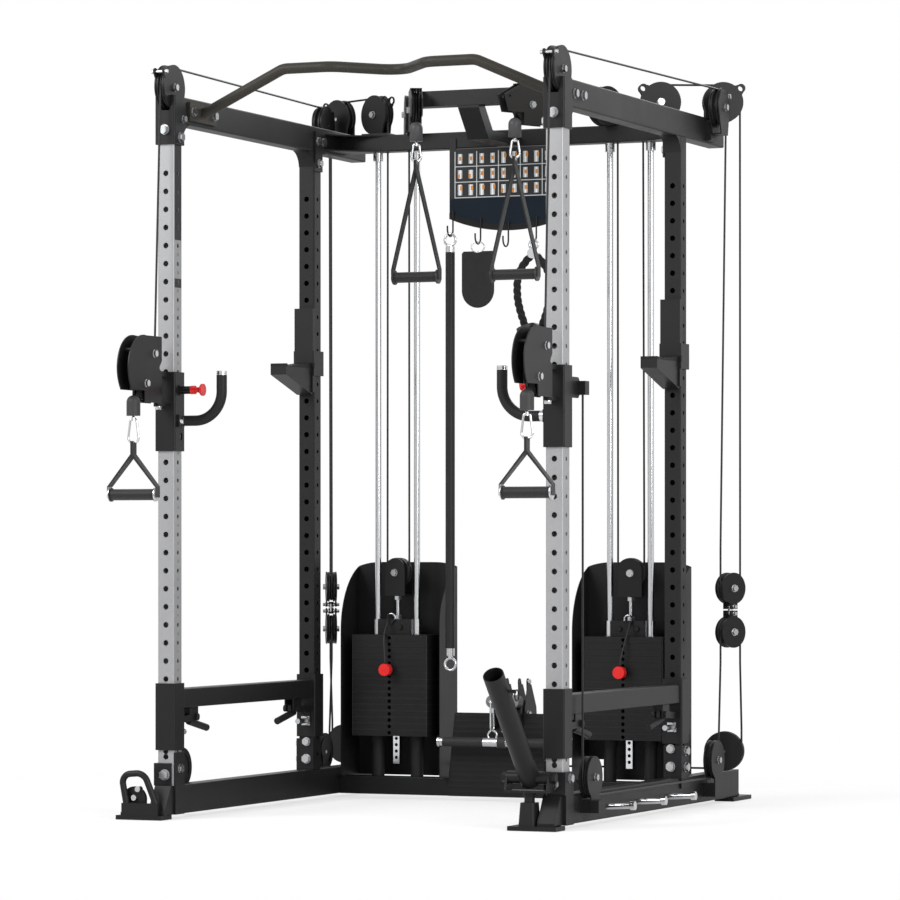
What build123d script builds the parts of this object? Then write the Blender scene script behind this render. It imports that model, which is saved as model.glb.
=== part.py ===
from build123d import *
import math
import os

os.makedirs("parts", exist_ok=True)

# Functional trainer. Millimetres; X across, Y from front to back, Z up.
# The builders work from the floor point midway between the front uprights.
# Export moves every piece by this datum, so that the origin is the middle of the footprint.
datum_x = 0.0
datum_y = -579.74

# Frame tubes
tube = 50.0
wall = 3.0
corner = 4.0
upright_x = 578.0
rear_y = 920.0
rail_base_z = 12.0
rail_base_h = 80.0
rail_top_z = 1928.0
rail_top_h = 75.0
upright_top_z = 1925.0
cross_y = 1101.0
beam_top_z = 1938.0
beam_base_z = 12.0
beam_base_h = 54.0
rail_front_y = -85.0
rail_back_y = 1400.0
top_rail_back_y = 1268.0

# Hole rows
hole_pitch = 50.0
hole_first_z = 87.0
hole_count = 35
hole_r = 8.0
side_hole_r = 6.0

# Sliding and fixed sleeves
sleeve = 62.0
slide_gap = 0.5

# Cable and wheels
cable_r = 3.0
axle_r = 5.0
axle_gap = 0.05
big_rim = 57.0
big_pitch = 51.0
top_rim = 62.0
top_pitch = 56.0
small_rim = 45.0
small_pitch = 39.0
wheel_w = 20.0
cheek_in = 12.0
cheek_t = 4.0

# Weight stacks
stack_x = 372.5
rod_half = 63.5
rod_r = 9.5
plate_w = 247.0
plate_d = 126.0
plate_t = 18.6
plate_pitch = 18.9
plate_count = 16
picked = 6
stack_z = 189.0
stem = 20.0
pin_r = 5.0

# Where the moving pieces stand
trolley_z = 1018.0
trolley_h = 219.0
pin_row = 22
pivot_y = -72.0
bar_z = 190.0
bar_h = 185.0

inside = tube / 2
rail_in = upright_x - inside
rail_out = upright_x + inside
beam_half = rail_in
beam_front = cross_y - inside
beam_back = cross_y + inside
rail_base_top = rail_base_z + rail_base_h
rail_top_top = rail_top_z + rail_top_h
beam_top_top = beam_top_z + tube
beam_base_top = beam_base_z + beam_base_h
sleeve_in = tube + 2 * slide_gap


def block(x0, x1, y0, y1, z0, z1, mode=Mode.ADD):
    """A plain box between two corners."""
    with Locations(((x0 + x1) / 2, (y0 + y1) / 2, (z0 + z1) / 2)):
        Box(abs(x1 - x0), abs(y1 - y0), abs(z1 - z0), mode=mode)


def rod(start, end, radius, bore=0.0, mode=Mode.ADD):
    """A round bar or pipe between two points."""
    run = Vector(*end) - Vector(*start)
    with BuildSketch(Plane(origin=start, z_dir=run.normalized())) as section:
        Circle(radius)
        if bore:
            Circle(bore, mode=Mode.SUBTRACT)
    extrude(section.sketch, amount=run.length, mode=mode)


def box_tube(plane, width, depth, length, thick=wall, round_r=corner, bore_r=None):
    """A rectangular tube that starts on a plane and runs along its normal."""
    inner_r = max(round_r - thick, 0.6) if bore_r is None else bore_r
    with BuildSketch(plane) as section:
        RectangleRounded(width, depth, round_r)
        RectangleRounded(width - 2 * thick, depth - 2 * thick, inner_r, mode=Mode.SUBTRACT)
    extrude(section.sketch, amount=length)


def collar(x, y, z0, height, outer, inner):
    """A square sleeve around an upright."""
    with BuildSketch(Plane(origin=(x, y, z0))) as section:
        RectangleRounded(outer, outer, 5)
        RectangleRounded(inner, inner, 3, mode=Mode.SUBTRACT)
    extrude(section.sketch, amount=height)


def sheet_part(plane, outline, thick, round_r=0.0, mode=Mode.ADD):
    """A flat plate with a polygon outline, rounded at its corners."""
    with BuildSketch(plane) as profile:
        with BuildLine():
            Polyline(*outline, close=True)
        make_face()
        if round_r:
            fillet(profile.vertices(), round_r)
    extrude(profile.sketch, amount=thick, mode=mode)


def wheel_plane(x, y, z, ex=0.0, ey=1.0):
    """The plane of a wheel: local x along (ex, ey), local y up, normal along the axle."""
    return Plane(origin=(x, y, z), x_dir=(ex, ey, 0), z_dir=(ey, -ex, 0))


def wheel(plane, rim, pitch, width=wheel_w, bore=axle_r + axle_gap):
    """A grooved wheel turned about the normal of its plane."""
    half = width / 2
    groove = cable_r + 0.6
    side = Plane(origin=plane.origin, x_dir=plane.x_dir, z_dir=-plane.y_dir)
    with BuildSketch(side) as profile:
        with BuildLine():
            Polyline((bore, -half), (rim, -half), (rim, -groove - 2.2), (pitch + 0.5, -groove))
            ThreePointArc((pitch + 0.5, -groove), (pitch - groove, 0), (pitch + 0.5, groove))
            Polyline((pitch + 0.5, groove), (rim, groove + 2.2), (rim, half), (bore, half), (bore, -half))
        make_face()
        for face in (-1, 1):
            with Locations(((pitch - groove + 14) / 2, face * half)):
                Rectangle(pitch - groove - 26, 5, mode=Mode.SUBTRACT)
    revolve(profile.sketch, Axis(plane.origin, plane.z_dir))


def cheeks(plane, discs=(), panels=(), links=(), holes=(), near=cheek_in, thick=cheek_t, sides=(-1, 1)):
    """Side plates of a wheel: discs, polygons and tapered arms joined, drilled for bolts."""
    for side in sides:
        start = near if side > 0 else -near - thick
        with BuildSketch(plane.offset(start)) as profile:
            for s, t, r in discs:
                with Locations((s, t)):
                    Circle(r)
            for panel in panels:
                with BuildLine():
                    Polyline(*panel, close=True)
                make_face()
            for s0, t0, r0, s1, t1, r1 in links:
                length = math.hypot(s1 - s0, t1 - t0)
                nx = -(t1 - t0) / length
                ny = (s1 - s0) / length
                with BuildLine():
                    Polyline((s0 + nx * r0, t0 + ny * r0), (s1 + nx * r1, t1 + ny * r1),
                             (s1 - nx * r1, t1 - ny * r1), (s0 - nx * r0, t0 - ny * r0), close=True)
                make_face()
                with Locations((s1, t1)):
                    Circle(r1)
            for s, t, r in holes:
                with Locations((s, t)):
                    Circle(r, mode=Mode.SUBTRACT)
        extrude(profile.sketch, amount=thick)


def hex_head(origin, normal, across=17.0, height=7.0):
    """A washer and a hexagon head that stand on a face."""
    face = Plane(origin=origin, z_dir=normal)
    with BuildSketch(face) as ring:
        Circle(across * 0.64)
    extrude(ring.sketch, amount=2)
    with BuildSketch(face.offset(2)) as head:
        RegularPolygon(across / 2, 6, major_radius=False)
    extrude(head.sketch, amount=height)


def axle(plane, reach=cheek_in + cheek_t, s=0.0, t=0.0, across=17.0, shank=axle_r):
    """A bolt through a pair of cheeks, with a head at each end."""
    centre = plane.from_local_coords(Vector(s, t, 0))
    normal = plane.z_dir
    rod(centre - normal * reach, centre + normal * reach, shank)
    hex_head(centre + normal * reach, normal, across)
    hex_head(centre - normal * reach, -normal, across)


def route(points, radii):
    """Straight runs joined by tangent arcs, with one radius for each inner corner."""
    spots = [Vector(*p) for p in points]
    start = spots[0]
    for k in range(1, len(spots) - 1):
        back = (spots[k - 1] - spots[k]).normalized()
        ahead = (spots[k + 1] - spots[k]).normalized()
        half = math.radians(back.get_angle(ahead)) / 2
        reach = radii[k - 1] / math.tan(half)
        enter = spots[k] + back * reach
        leave = spots[k] + ahead * reach
        middle_way = (back + ahead).normalized()
        middle = spots[k] + middle_way * (radii[k - 1] / math.sin(half) - radii[k - 1])
        if (enter - start).length > 0.001:
            Line(start, enter)
            start = enter
        ThreePointArc(start, middle, leave)
        start = leave
    Line(start, spots[-1])


def bent_rod(points, radii, radius, mode=Mode.ADD):
    """A round bar swept along a route."""
    with BuildLine() as path:
        route(points, radii)
    run = path.wires()[0]
    with BuildSketch(Plane(origin=run @ 0, z_dir=run % 0)) as section:
        Circle(radius)
    sweep(section.sketch, path=run, mode=mode)


def ring(origin, normal, big, small):
    """A closed round ring."""
    plane = Plane(origin=origin, z_dir=normal)
    side = Plane(origin=origin, x_dir=plane.x_dir, z_dir=plane.y_dir)
    with BuildSketch(side) as section:
        with Locations((big, 0)):
            Circle(small)
    revolve(section.sketch, Axis(plane.origin, plane.z_dir))


def both(piece):
    """The mirrored copy across the middle plane joins the first."""
    mirror(piece.part, about=Plane.YZ)


# Wheel planes, right-hand side. e is the horizontal direction of the wheel's plane.
e_block = (0.469, 0.883)
e_corner = (0.886, 0.463)
e_lat = (0.446, 0.895)
e_low = (0.980, 0.199)
e_stack = (0.986, 0.165)

front_wheel = (upright_x, -1.0, 2026.0)
rear_wheel = (635.0, 1143.0, 2033.0)
outer_wheel = (617.0, 1219.0, 2056.0)
inner_wheel = (454.0, 1134.0, 2055.0)
beam_wheel = (311.0, 1053.0, 2042.0)
lat_wheel = (177.0, 785.0, 2024.0)
low_front = (616.5, 136.0, 133.0)
low_rear = (625.0, 1110.0, 134.0)
low_outer = (611.0, 1250.0, 153.0)
low_turn = (71.0, 1148.0, 143.0)
row_wheel = (33.0, cross_y, 258.0)
block_x = 643.0
block_y = 1212.0
block_up_z = 632.0
block_low_z = 504.0
stack_wheel_z = 676.0
head_up = (-132.0, 1283.0)
head_low = (-180.0, 1200.0)
drop_y = head_low[0] - small_pitch
lat_drop = (lat_wheel[0] - e_lat[0] * big_pitch, lat_wheel[1] - e_lat[1] * big_pitch)
stack_out = (stack_x + e_stack[0] * small_pitch, cross_y + 6 + e_stack[1] * small_pitch)
stack_in = (stack_x - e_stack[0] * small_pitch, cross_y + 6 - e_stack[1] * small_pitch)
anchor_y = low_front[1] - big_pitch

front_plane = wheel_plane(*front_wheel)
rear_plane = wheel_plane(*rear_wheel)
outer_plane = wheel_plane(*outer_wheel, *e_corner)
inner_plane = wheel_plane(*inner_wheel, *e_corner)
beam_plane = wheel_plane(*beam_wheel, *e_lat)
lat_plane = wheel_plane(*lat_wheel, *e_lat)
low_front_plane = wheel_plane(*low_front)
low_rear_plane = wheel_plane(*low_rear)
low_outer_plane = wheel_plane(*low_outer, *e_low)
low_turn_plane = wheel_plane(*low_turn, *e_low)
row_plane = wheel_plane(*row_wheel)
block_up = wheel_plane(block_x, block_y, block_up_z, *e_block)
block_low = wheel_plane(block_x, block_y, block_low_z, *e_block)
stack_plane = wheel_plane(stack_x, cross_y + 6, stack_wheel_z, *e_stack)
head_up_plane = wheel_plane(upright_x, *head_up)
head_low_plane = wheel_plane(upright_x, *head_low)

# Cross beams
with BuildPart() as cross_beams:
    box_tube(Plane(origin=(-beam_half, cross_y, beam_top_z + tube / 2), x_dir=(0, 1, 0), z_dir=(1, 0, 0)),
             tube, tube, 2 * beam_half)
    box_tube(Plane(origin=(-beam_half, cross_y, beam_base_z + beam_base_h / 2), x_dir=(0, 1, 0), z_dir=(1, 0, 0)),
             tube, beam_base_h, 2 * beam_half)
    with BuildSketch(Plane.XY.offset(beam_top_z)) as ports:
        for hand in (-1, 1):
            with Locations((hand * stack_out[0], stack_out[1]), (hand * stack_in[0], stack_in[1])):
                Circle(8)
    extrude(ports.sketch, amount=tube, mode=Mode.SUBTRACT)
    # quarter-round corner webs between the top beam and the rails
    for hand in (-1, 1):
        for web_z in (beam_top_z, beam_top_top - 4):
            with BuildSketch(Plane.XY.offset(web_z)) as web:
                with BuildLine():
                    Line((hand * beam_half, beam_front), (hand * (beam_half - 165), beam_front))
                    ThreePointArc((hand * (beam_half - 165), beam_front), (hand * (beam_half - 68), beam_front - 32),
                                  (hand * beam_half, beam_front - 110))
                    Line((hand * beam_half, beam_front - 110), (hand * beam_half, beam_front))
                make_face()
            extrude(web.sketch, amount=4)

# Base rails with their slanted noses
with BuildPart() as base_rails:
    box_tube(Plane(origin=(upright_x, rail_front_y, rail_base_z + rail_base_h / 2), x_dir=(1, 0, 0), z_dir=(0, 1, 0)),
             tube, rail_base_h, rail_back_y - rail_front_y)
    sheet_part(Plane(origin=(rail_in - 1, 0, 0), x_dir=(0, 1, 0), z_dir=(1, 0, 0)),
               [(rail_front_y - 1, rail_base_z + 8), (rail_front_y - 1, rail_base_top + 1),
                (rail_front_y + 44, rail_base_top + 1)], tube + 2, mode=Mode.SUBTRACT)
    sheet_part(Plane(origin=(rail_in, 0, 0), x_dir=(0, 1, 0), z_dir=(1, 0, 0)),
               [(rail_front_y, rail_base_z), (rail_front_y, rail_base_z + 8),
                (rail_front_y + 43, rail_base_top), (rail_front_y + 47, rail_base_top),
                (rail_front_y + 4, rail_base_z + 8), (rail_front_y + 4, rail_base_z)], tube)
    block(rail_in, rail_out, rail_back_y, rail_back_y + 3, rail_base_z, rail_base_top)
    both(base_rails)


def drilled_upright(y, top_z):
    """A square upright with a hole row through both pairs of faces."""
    box_tube(Plane(origin=(upright_x, y, rail_base_top)), tube, tube, top_z - rail_base_top)
    middle_z = hole_first_z + hole_pitch * (hole_count - 1) / 2
    with BuildSketch(Plane(origin=(upright_x, y, middle_z), x_dir=(1, 0, 0), z_dir=(0, -1, 0))) as front_row:
        with GridLocations(1, hole_pitch, 1, hole_count):
            Circle(hole_r)
    extrude(front_row.sketch, amount=tube, both=True, mode=Mode.SUBTRACT)
    with BuildSketch(Plane(origin=(upright_x, y, middle_z), x_dir=(0, 1, 0), z_dir=(1, 0, 0))) as side_row:
        with GridLocations(1, hole_pitch, 1, hole_count):
            Circle(side_hole_r)
    extrude(side_row.sketch, amount=tube, both=True, mode=Mode.SUBTRACT)


with BuildPart() as front_uprights:
    drilled_upright(0, upright_top_z)
    rod((upright_x, -inside - 1, 172), (upright_x, -inside + wall + 1, 172), hole_r, mode=Mode.SUBTRACT)
    both(front_uprights)

with BuildPart() as rear_uprights:
    drilled_upright(rear_y, rail_top_z)
    both(rear_uprights)

# Top rails: the front end is slotted for the top wheel, the back end is lowered under the outer wheel
rail_notch_z = 1990.0
with BuildPart() as top_rails:
    box_tube(Plane(origin=(upright_x, sleeve / 2, rail_top_z + rail_top_h / 2), x_dir=(1, 0, 0), z_dir=(0, 1, 0)),
             tube, rail_top_h, top_rail_back_y - sleeve / 2)
    block(upright_x - cheek_in - cheek_t - 1, upright_x + cheek_in + cheek_t + 1, sleeve / 2 - 1, sleeve / 2 + 38,
          rail_top_top - 2 * wall, rail_top_top + 1, mode=Mode.SUBTRACT)
    block(rail_in - 1, rail_out + 1, 1165, top_rail_back_y + 1, rail_notch_z, rail_top_top + 1, mode=Mode.SUBTRACT)
    block(rail_in + 1, rail_out - 1, 1165 - wall, top_rail_back_y, rail_notch_z - wall, rail_notch_z)
    block(rail_in + 1, rail_out - 1, top_rail_back_y - wall, top_rail_back_y, rail_top_z + 1, rail_notch_z)
    both(top_rails)

# Brackets that hold the front wheels on top of the uprights
bracket_z = 1867.0
with BuildPart() as top_front_brackets:
    collar(upright_x, 0, bracket_z, rail_top_top - bracket_z, sleeve, tube)
    block(upright_x - inside, upright_x + inside, -inside, inside, upright_top_z, upright_top_z + 6)
    slot_half = cheek_in + cheek_t + 1
    block(upright_x - slot_half, upright_x + slot_half, -sleeve, sleeve,
          front_wheel[2] - top_rim - 3, rail_top_top + 1, mode=Mode.SUBTRACT)
    ear = (-61.0, 39.0, 10.0)
    cheeks(front_plane, discs=[(0, 0, top_rim + 1)],
           panels=[[(-24, upright_top_z + 6 - front_wheel[2]), (24, upright_top_z + 6 - front_wheel[2]),
                    (24, 0), (-24, 0)]],
           links=[(0, 0, 36, *ear)], holes=[(0, 0, axle_r), (ear[0], ear[1], 4)])
    # haunch between bracket and rail
    with BuildSketch(Plane(origin=(rail_in, 0, 0), x_dir=(0, 1, 0), z_dir=(1, 0, 0))) as haunch:
        with BuildLine():
            Line((sleeve / 2, rail_top_z), (sleeve / 2 + 46, rail_top_z))
            ThreePointArc((sleeve / 2 + 46, rail_top_z), (sleeve / 2 + 16, rail_top_z - 14),
                          (sleeve / 2, bracket_z))
            Line((sleeve / 2, bracket_z), (sleeve / 2, rail_top_z))
        make_face()
    extrude(haunch.sketch, amount=tube)
    both(top_front_brackets)

# Brackets of the rear upper wheels and the corner plates
with BuildPart() as top_rear_brackets:
    # rear wheel on the rail's outer face
    block(rail_out, rear_wheel[0] - cheek_in - cheek_t, 1110, 1175, 1935, 1995)
    foot_t = 1957 - rear_wheel[2]
    cheeks(rear_plane, discs=[(-8, 4, 47)],
           panels=[[(-30, foot_t), (26, foot_t), (38, -8), (-54, -8)]],
           links=[(0, 0, 30, 30, 34, 10)], holes=[(0, 0, axle_r), (30, 34, 4)])
    block(rear_wheel[0] - cheek_in - cheek_t, rear_wheel[0] + cheek_in + cheek_t, 1113, 1169, 1953, 1957)
    # outer corner wheel on the rail's lowered end
    cheeks(outer_plane, discs=[(0, 0, big_rim + 2)],
           panels=[[(-54, rail_notch_z - outer_wheel[2]), (-20, rail_notch_z - outer_wheel[2]),
                    (10, -40), (-54, -20)]],
           links=[(0, 0, 40, 52, 41, 13)], holes=[(0, 0, axle_r), (52, 41, 8.5)])
    # inner corner wheel on the top beam
    block(inner_wheel[0] - 62, inner_wheel[0] + 26, beam_front, beam_back + 16, beam_top_top, beam_top_top + 6)
    with Locations((stack_out[0], stack_out[1], beam_top_top + 3)):
        Cylinder(8, 8, mode=Mode.SUBTRACT)
    inner_foot = beam_top_top + 6 - inner_wheel[2]
    cheeks(inner_plane, discs=[(0, 0, big_rim + 2)],
           panels=[[(-44, inner_foot), (16, inner_foot), (30, -30), (-50, -20)]],
           links=[(0, 0, 40, -52, 40, 13)], holes=[(0, 0, axle_r), (-52, 40, 8.5)])
    # wheel over the inner end of each stack
    beam_foot = beam_top_top - beam_wheel[2]
    cheeks(beam_plane, discs=[(0, 0, big_rim + 1)],
           panels=[[(34, beam_foot), (62, beam_foot), (62, -20), (20, -20)]],
           holes=[(0, 0, axle_r)])
    # corner plates between rear upright and rail
    block(rail_in - 5, rail_in, rear_y - 25, rear_y + 44, rail_top_z - 4, rail_top_top - 14)
    block(rail_in - 5, rail_in, rear_y - inside, rear_y + inside, rail_top_z - 58, rail_top_z - 4)
    with BuildSketch(Plane(origin=(rail_in, 0, 0), x_dir=(0, 1, 0), z_dir=(1, 0, 0))) as haunch:
        with BuildLine():
            Line((rear_y - inside, rail_top_z), (rear_y - inside - 42, rail_top_z))
            ThreePointArc((rear_y - inside - 42, rail_top_z), (rear_y - inside - 14, rail_top_z - 14),
                          (rear_y - inside, rail_top_z - 45))
            Line((rear_y - inside, rail_top_z - 45), (rear_y - inside, rail_top_z))
        make_face()
    extrude(haunch.sketch, amount=tube)
    both(top_rear_brackets)

# Base brackets, low wheel mounts and rear feet
foot_y = 1493.0
with BuildPart() as base_brackets:
    block(upright_x - 18, rail_out + 9, -inside - 6, -inside, rail_base_top, rail_base_top + 62)
    block(rail_out, rail_out + 9, -inside, inside + 6, rail_base_top - 80, rail_base_top + 62)
    block(rail_in - 5, rail_in, -inside, inside + 6, rail_base_top - 80, rail_base_top + 92)
    # low front wheel: an inner plate on the rail and an outer plate on a block
    low_in = low_front[0] - rail_out - wheel_w / 2 - 0.5
    block(rail_out, rail_out + low_in, low_front[1] - 30, low_front[1] + 30, 38, 110)
    cheeks(low_front_plane, discs=[(0, 0, 24)], panels=[[(-30, -40), (30, -40), (20, 0), (-20, 0)]],
           holes=[(0, 0, axle_r)], near=wheel_w / 2 + 0.5, thick=low_in, sides=(-1,))
    cheeks(low_front_plane, discs=[(0, 0, big_rim)], panels=[[(-25, -95), (25, -95), (30, -30), (-30, -30)]],
           holes=[(0, 0, axle_r)], sides=(1,))
    block(rail_out + low_in, low_front[0] + 36, low_front[1] - 25, low_front[1] + 25, 38, 72)
    # low rear wheel
    block(rail_out, low_rear[0] + cheek_in + cheek_t, low_rear[1] - 25, low_rear[1] + 15, 28, 66)
    cheeks(low_rear_plane, discs=[(0, 0, big_rim)], panels=[[(-25, 66 - low_rear[2]), (15, 66 - low_rear[2]), (15, 0), (-25, 0)]],
           holes=[(0, 0, axle_r)], sides=(1,))
    cheeks(low_rear_plane, discs=[(0, 10, 34)], panels=[[(-25, 66 - low_rear[2]), (15, 66 - low_rear[2]), (15, 0), (-25, 0)]],
           holes=[(0, 0, axle_r)], near=wheel_w / 2 + 0.5, thick=2.5, sides=(-1,))
    # low outer wheel on the rail
    cheeks(low_outer_plane, discs=[(0, 0, big_rim + 1)],
           panels=[[(-52, rail_base_top - low_outer[2]), (-14, rail_base_top - low_outer[2]), (10, -30), (-52, -10)]],
           holes=[(0, 0, axle_r)])
    # middle turn wheel on the base beam
    turn_foot = beam_base_top - low_turn[2]
    cheeks(low_turn_plane, discs=[(0, 0, small_rim)],
           panels=[[(-5, turn_foot), (44, turn_foot), (36, 0), (-20, 0)]], holes=[(0, 0, axle_r)])
    block(low_turn[0] - 8, low_turn[0] + 46, beam_front + 12, low_turn[1] + 26, beam_base_top, beam_base_top + 4)
    # rear foot and its web
    block(rail_in, rail_out + 9, 1330, foot_y, 0, rail_base_z)
    sheet_part(Plane(origin=(upright_x - 4, 0, 0), x_dir=(0, 1, 0), z_dir=(1, 0, 0)),
               [(rail_back_y + 3, rail_base_z), (foot_y - 22, rail_base_z), (rail_back_y + 3, rail_base_top - 8)], 8)
    # lower corner plates on the rear uprights
    block(rail_out, rail_out + 5, rear_y - inside - 6, rear_y + inside + 8, rail_base_top - 30, rail_base_top + 92)
    block(rail_in, rail_out, rear_y - inside - 6, rear_y - inside, rail_base_top, rail_base_top + 92)
    both(base_brackets)

# Low row station: footplate and the wheel cheeks behind it
with BuildPart() as row_station:
    row_top = row_wheel[2] + 3
    sheet_part(Plane(origin=(0, beam_front, 0), x_dir=(1, 0, 0), z_dir=(0, -1, 0)),
               [(-200, beam_base_z), (200, beam_base_z), (174, row_top), (-174, row_top)], 4, round_r=6)
    for hand in (-1, 1):
        block(hand * (row_wheel[0] - 13), hand * (row_wheel[0] + 13), beam_front - 6, beam_front + 1,
              row_wheel[2] - 53, row_top + 1, mode=Mode.SUBTRACT)
    for hand in (-1, 1):
        cheeks(wheel_plane(hand * row_wheel[0], row_wheel[1], row_wheel[2]),
               panels=[[(-24, -53), (24, -53), (24, beam_base_top - row_wheel[2]), (-24, beam_base_top - row_wheel[2])],
                       [(-21, -53), (79, -53), (70, 20), (30, 88), (4, 88), (-21, 20)]],
               discs=[(6, 96, 10)], links=[(20, 40, 20, 6, 96, 10)],
               holes=[(0, 0, axle_r), (6, 96, 4)], near=12.0, thick=3.0)

# Lat station: post, arm, crossbar and the two covered heads
arm_y = 847.0
with BuildPart() as lat_beam:
    sheet_part(Plane(origin=(-32.5, 0, 0), x_dir=(0, 1, 0), z_dir=(1, 0, 0)),
               [(762, 2032), (808, 2032), (868, 1966), (beam_front, 1966), (beam_front, beam_top_z),
                (838, beam_top_z), (762, 2022)], 65)
    bar_front = 760.0
    bar_back = 810.0
    sheet_part(Plane.XY.offset(2030), [(-145, bar_front), (145, bar_front), (170, bar_back), (-170, bar_back)], 45)
    for hand in (-1, 1):
        head = wheel_plane(hand * lat_wheel[0], lat_wheel[1], lat_wheel[2], hand * e_lat[0], e_lat[1])
        cheeks(head, panels=[[(-104, 24), (-43, 56), (60, 56), (60, -57), (-30, -57), (-30, -24), (-88, -24)]],
               holes=[(0, 0, axle_r), (-84, 20, 4)], near=14.0, thick=3.0)
        with BuildSketch(head.offset(-14)) as cover:
            with BuildLine():
                Polyline((-40, 57.5), (38, 57.5), (38, 60.5), (-41, 60.5), close=True)
            make_face()
        extrude(cover.sketch, amount=28)
        cheeks(head, panels=[[(-43, 55), (60, 55), (60, 60.5), (-43, 60.5)]], near=14.0, thick=3.0)

# Multi-grip pull-up bar
grip_r = 15.0
grip_z = 2079.0
with BuildPart() as pull_up_bar:
    mount_y = 145.0
    mount_z = 1966.0
    run = [(-rail_in + 8, mount_y, mount_z), (-289, 124, grip_z), (-143, 124, grip_z), (0, 289, grip_z),
           (143, 124, grip_z), (289, 124, grip_z), (rail_in - 8, mount_y, mount_z)]
    bent_rod(run, [60, 60, 60, 60, 60], grip_r)
    block(-rail_in, -rail_in + 6, mount_y - 82, mount_y + 86, mount_z - 26, mount_z + 26)
    block(rail_in - 6, rail_in, mount_y - 82, mount_y + 86, mount_z - 26, mount_z + 26)

# Exercise board with a curved lower edge
board_y = beam_front
board_half = 191.0
board_low = 1690.0
with BuildPart() as placard:
    with BuildSketch(Plane(origin=(0, board_y, 0), x_dir=(1, 0, 0), z_dir=(0, -1, 0))) as board:
        with BuildLine():
            Line((-board_half, board_low + 39), (-board_half, beam_top_z - 2))
            Line((-board_half, beam_top_z - 2), (board_half, beam_top_z - 2))
            Line((board_half, beam_top_z - 2), (board_half, board_low + 39))
            ThreePointArc((board_half, board_low + 39), (0, board_low), (-board_half, board_low + 39))
        make_face()
    extrude(board.sketch, amount=4)
    with BuildSketch(Plane(origin=(0, board_y - 4, 0), x_dir=(1, 0, 0), z_dir=(0, -1, 0))) as lip:
        with BuildLine():
            Line((-board_half, board_low + 57), (-board_half, board_low + 39))
            ThreePointArc((-board_half, board_low + 39), (0, board_low), (board_half, board_low + 39))
            Line((board_half, board_low + 39), (board_half, board_low + 57))
            ThreePointArc((board_half, board_low + 57), (0, board_low + 18), (-board_half, board_low + 57))
        make_face()
    extrude(lip.sketch, amount=2)
    block(-board_half, -board_half + 20, board_y - 4, board_y, beam_top_z - 2, beam_top_z + 30)
    block(board_half - 20, board_half, board_y - 4, board_y, beam_top_z - 2, beam_top_z + 30)

# Storage hooks along the board's lower edge
hook_r = 2.5
hook_step = 89.0
shank_y = board_y - 4 - 2 - hook_r
hook_bend = 21.0
hook_low = {-2: 1673.0, -1: 1648.0, 0: 1638.0, 1: 1648.0, 2: 1673.0}
with BuildPart() as storage_hooks:
    for place, low in hook_low.items():
        x = place * hook_step
        base = low + hook_r
        bent_rod([(x, shank_y, base + 78), (x, shank_y, base), (x, shank_y - 2 * hook_bend, base),
                  (x, shank_y - 2 * hook_bend, base + 30)], [hook_bend, hook_bend], hook_r)

# Guide rods, collars and bumpers
with BuildPart() as guide_rods:
    for rod_x in (stack_x - rod_half, stack_x + rod_half):
        rod((rod_x, cross_y, beam_base_top), (rod_x, cross_y, beam_top_z), rod_r)
        rod((rod_x, cross_y, beam_top_z - 26), (rod_x, cross_y, beam_top_z), 15)
    both(guide_rods)

bumper_r = 19.0
with BuildPart() as stack_bumpers:
    for rod_x in (stack_x - rod_half, stack_x + rod_half):
        rod((rod_x, cross_y, beam_base_top), (rod_x, cross_y, stack_z - 24), bumper_r, bore=rod_r)
        rod((rod_x, cross_y, stack_z - 24), (rod_x, cross_y, stack_z), bumper_r + 3, bore=rod_r)
    both(stack_bumpers)

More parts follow.
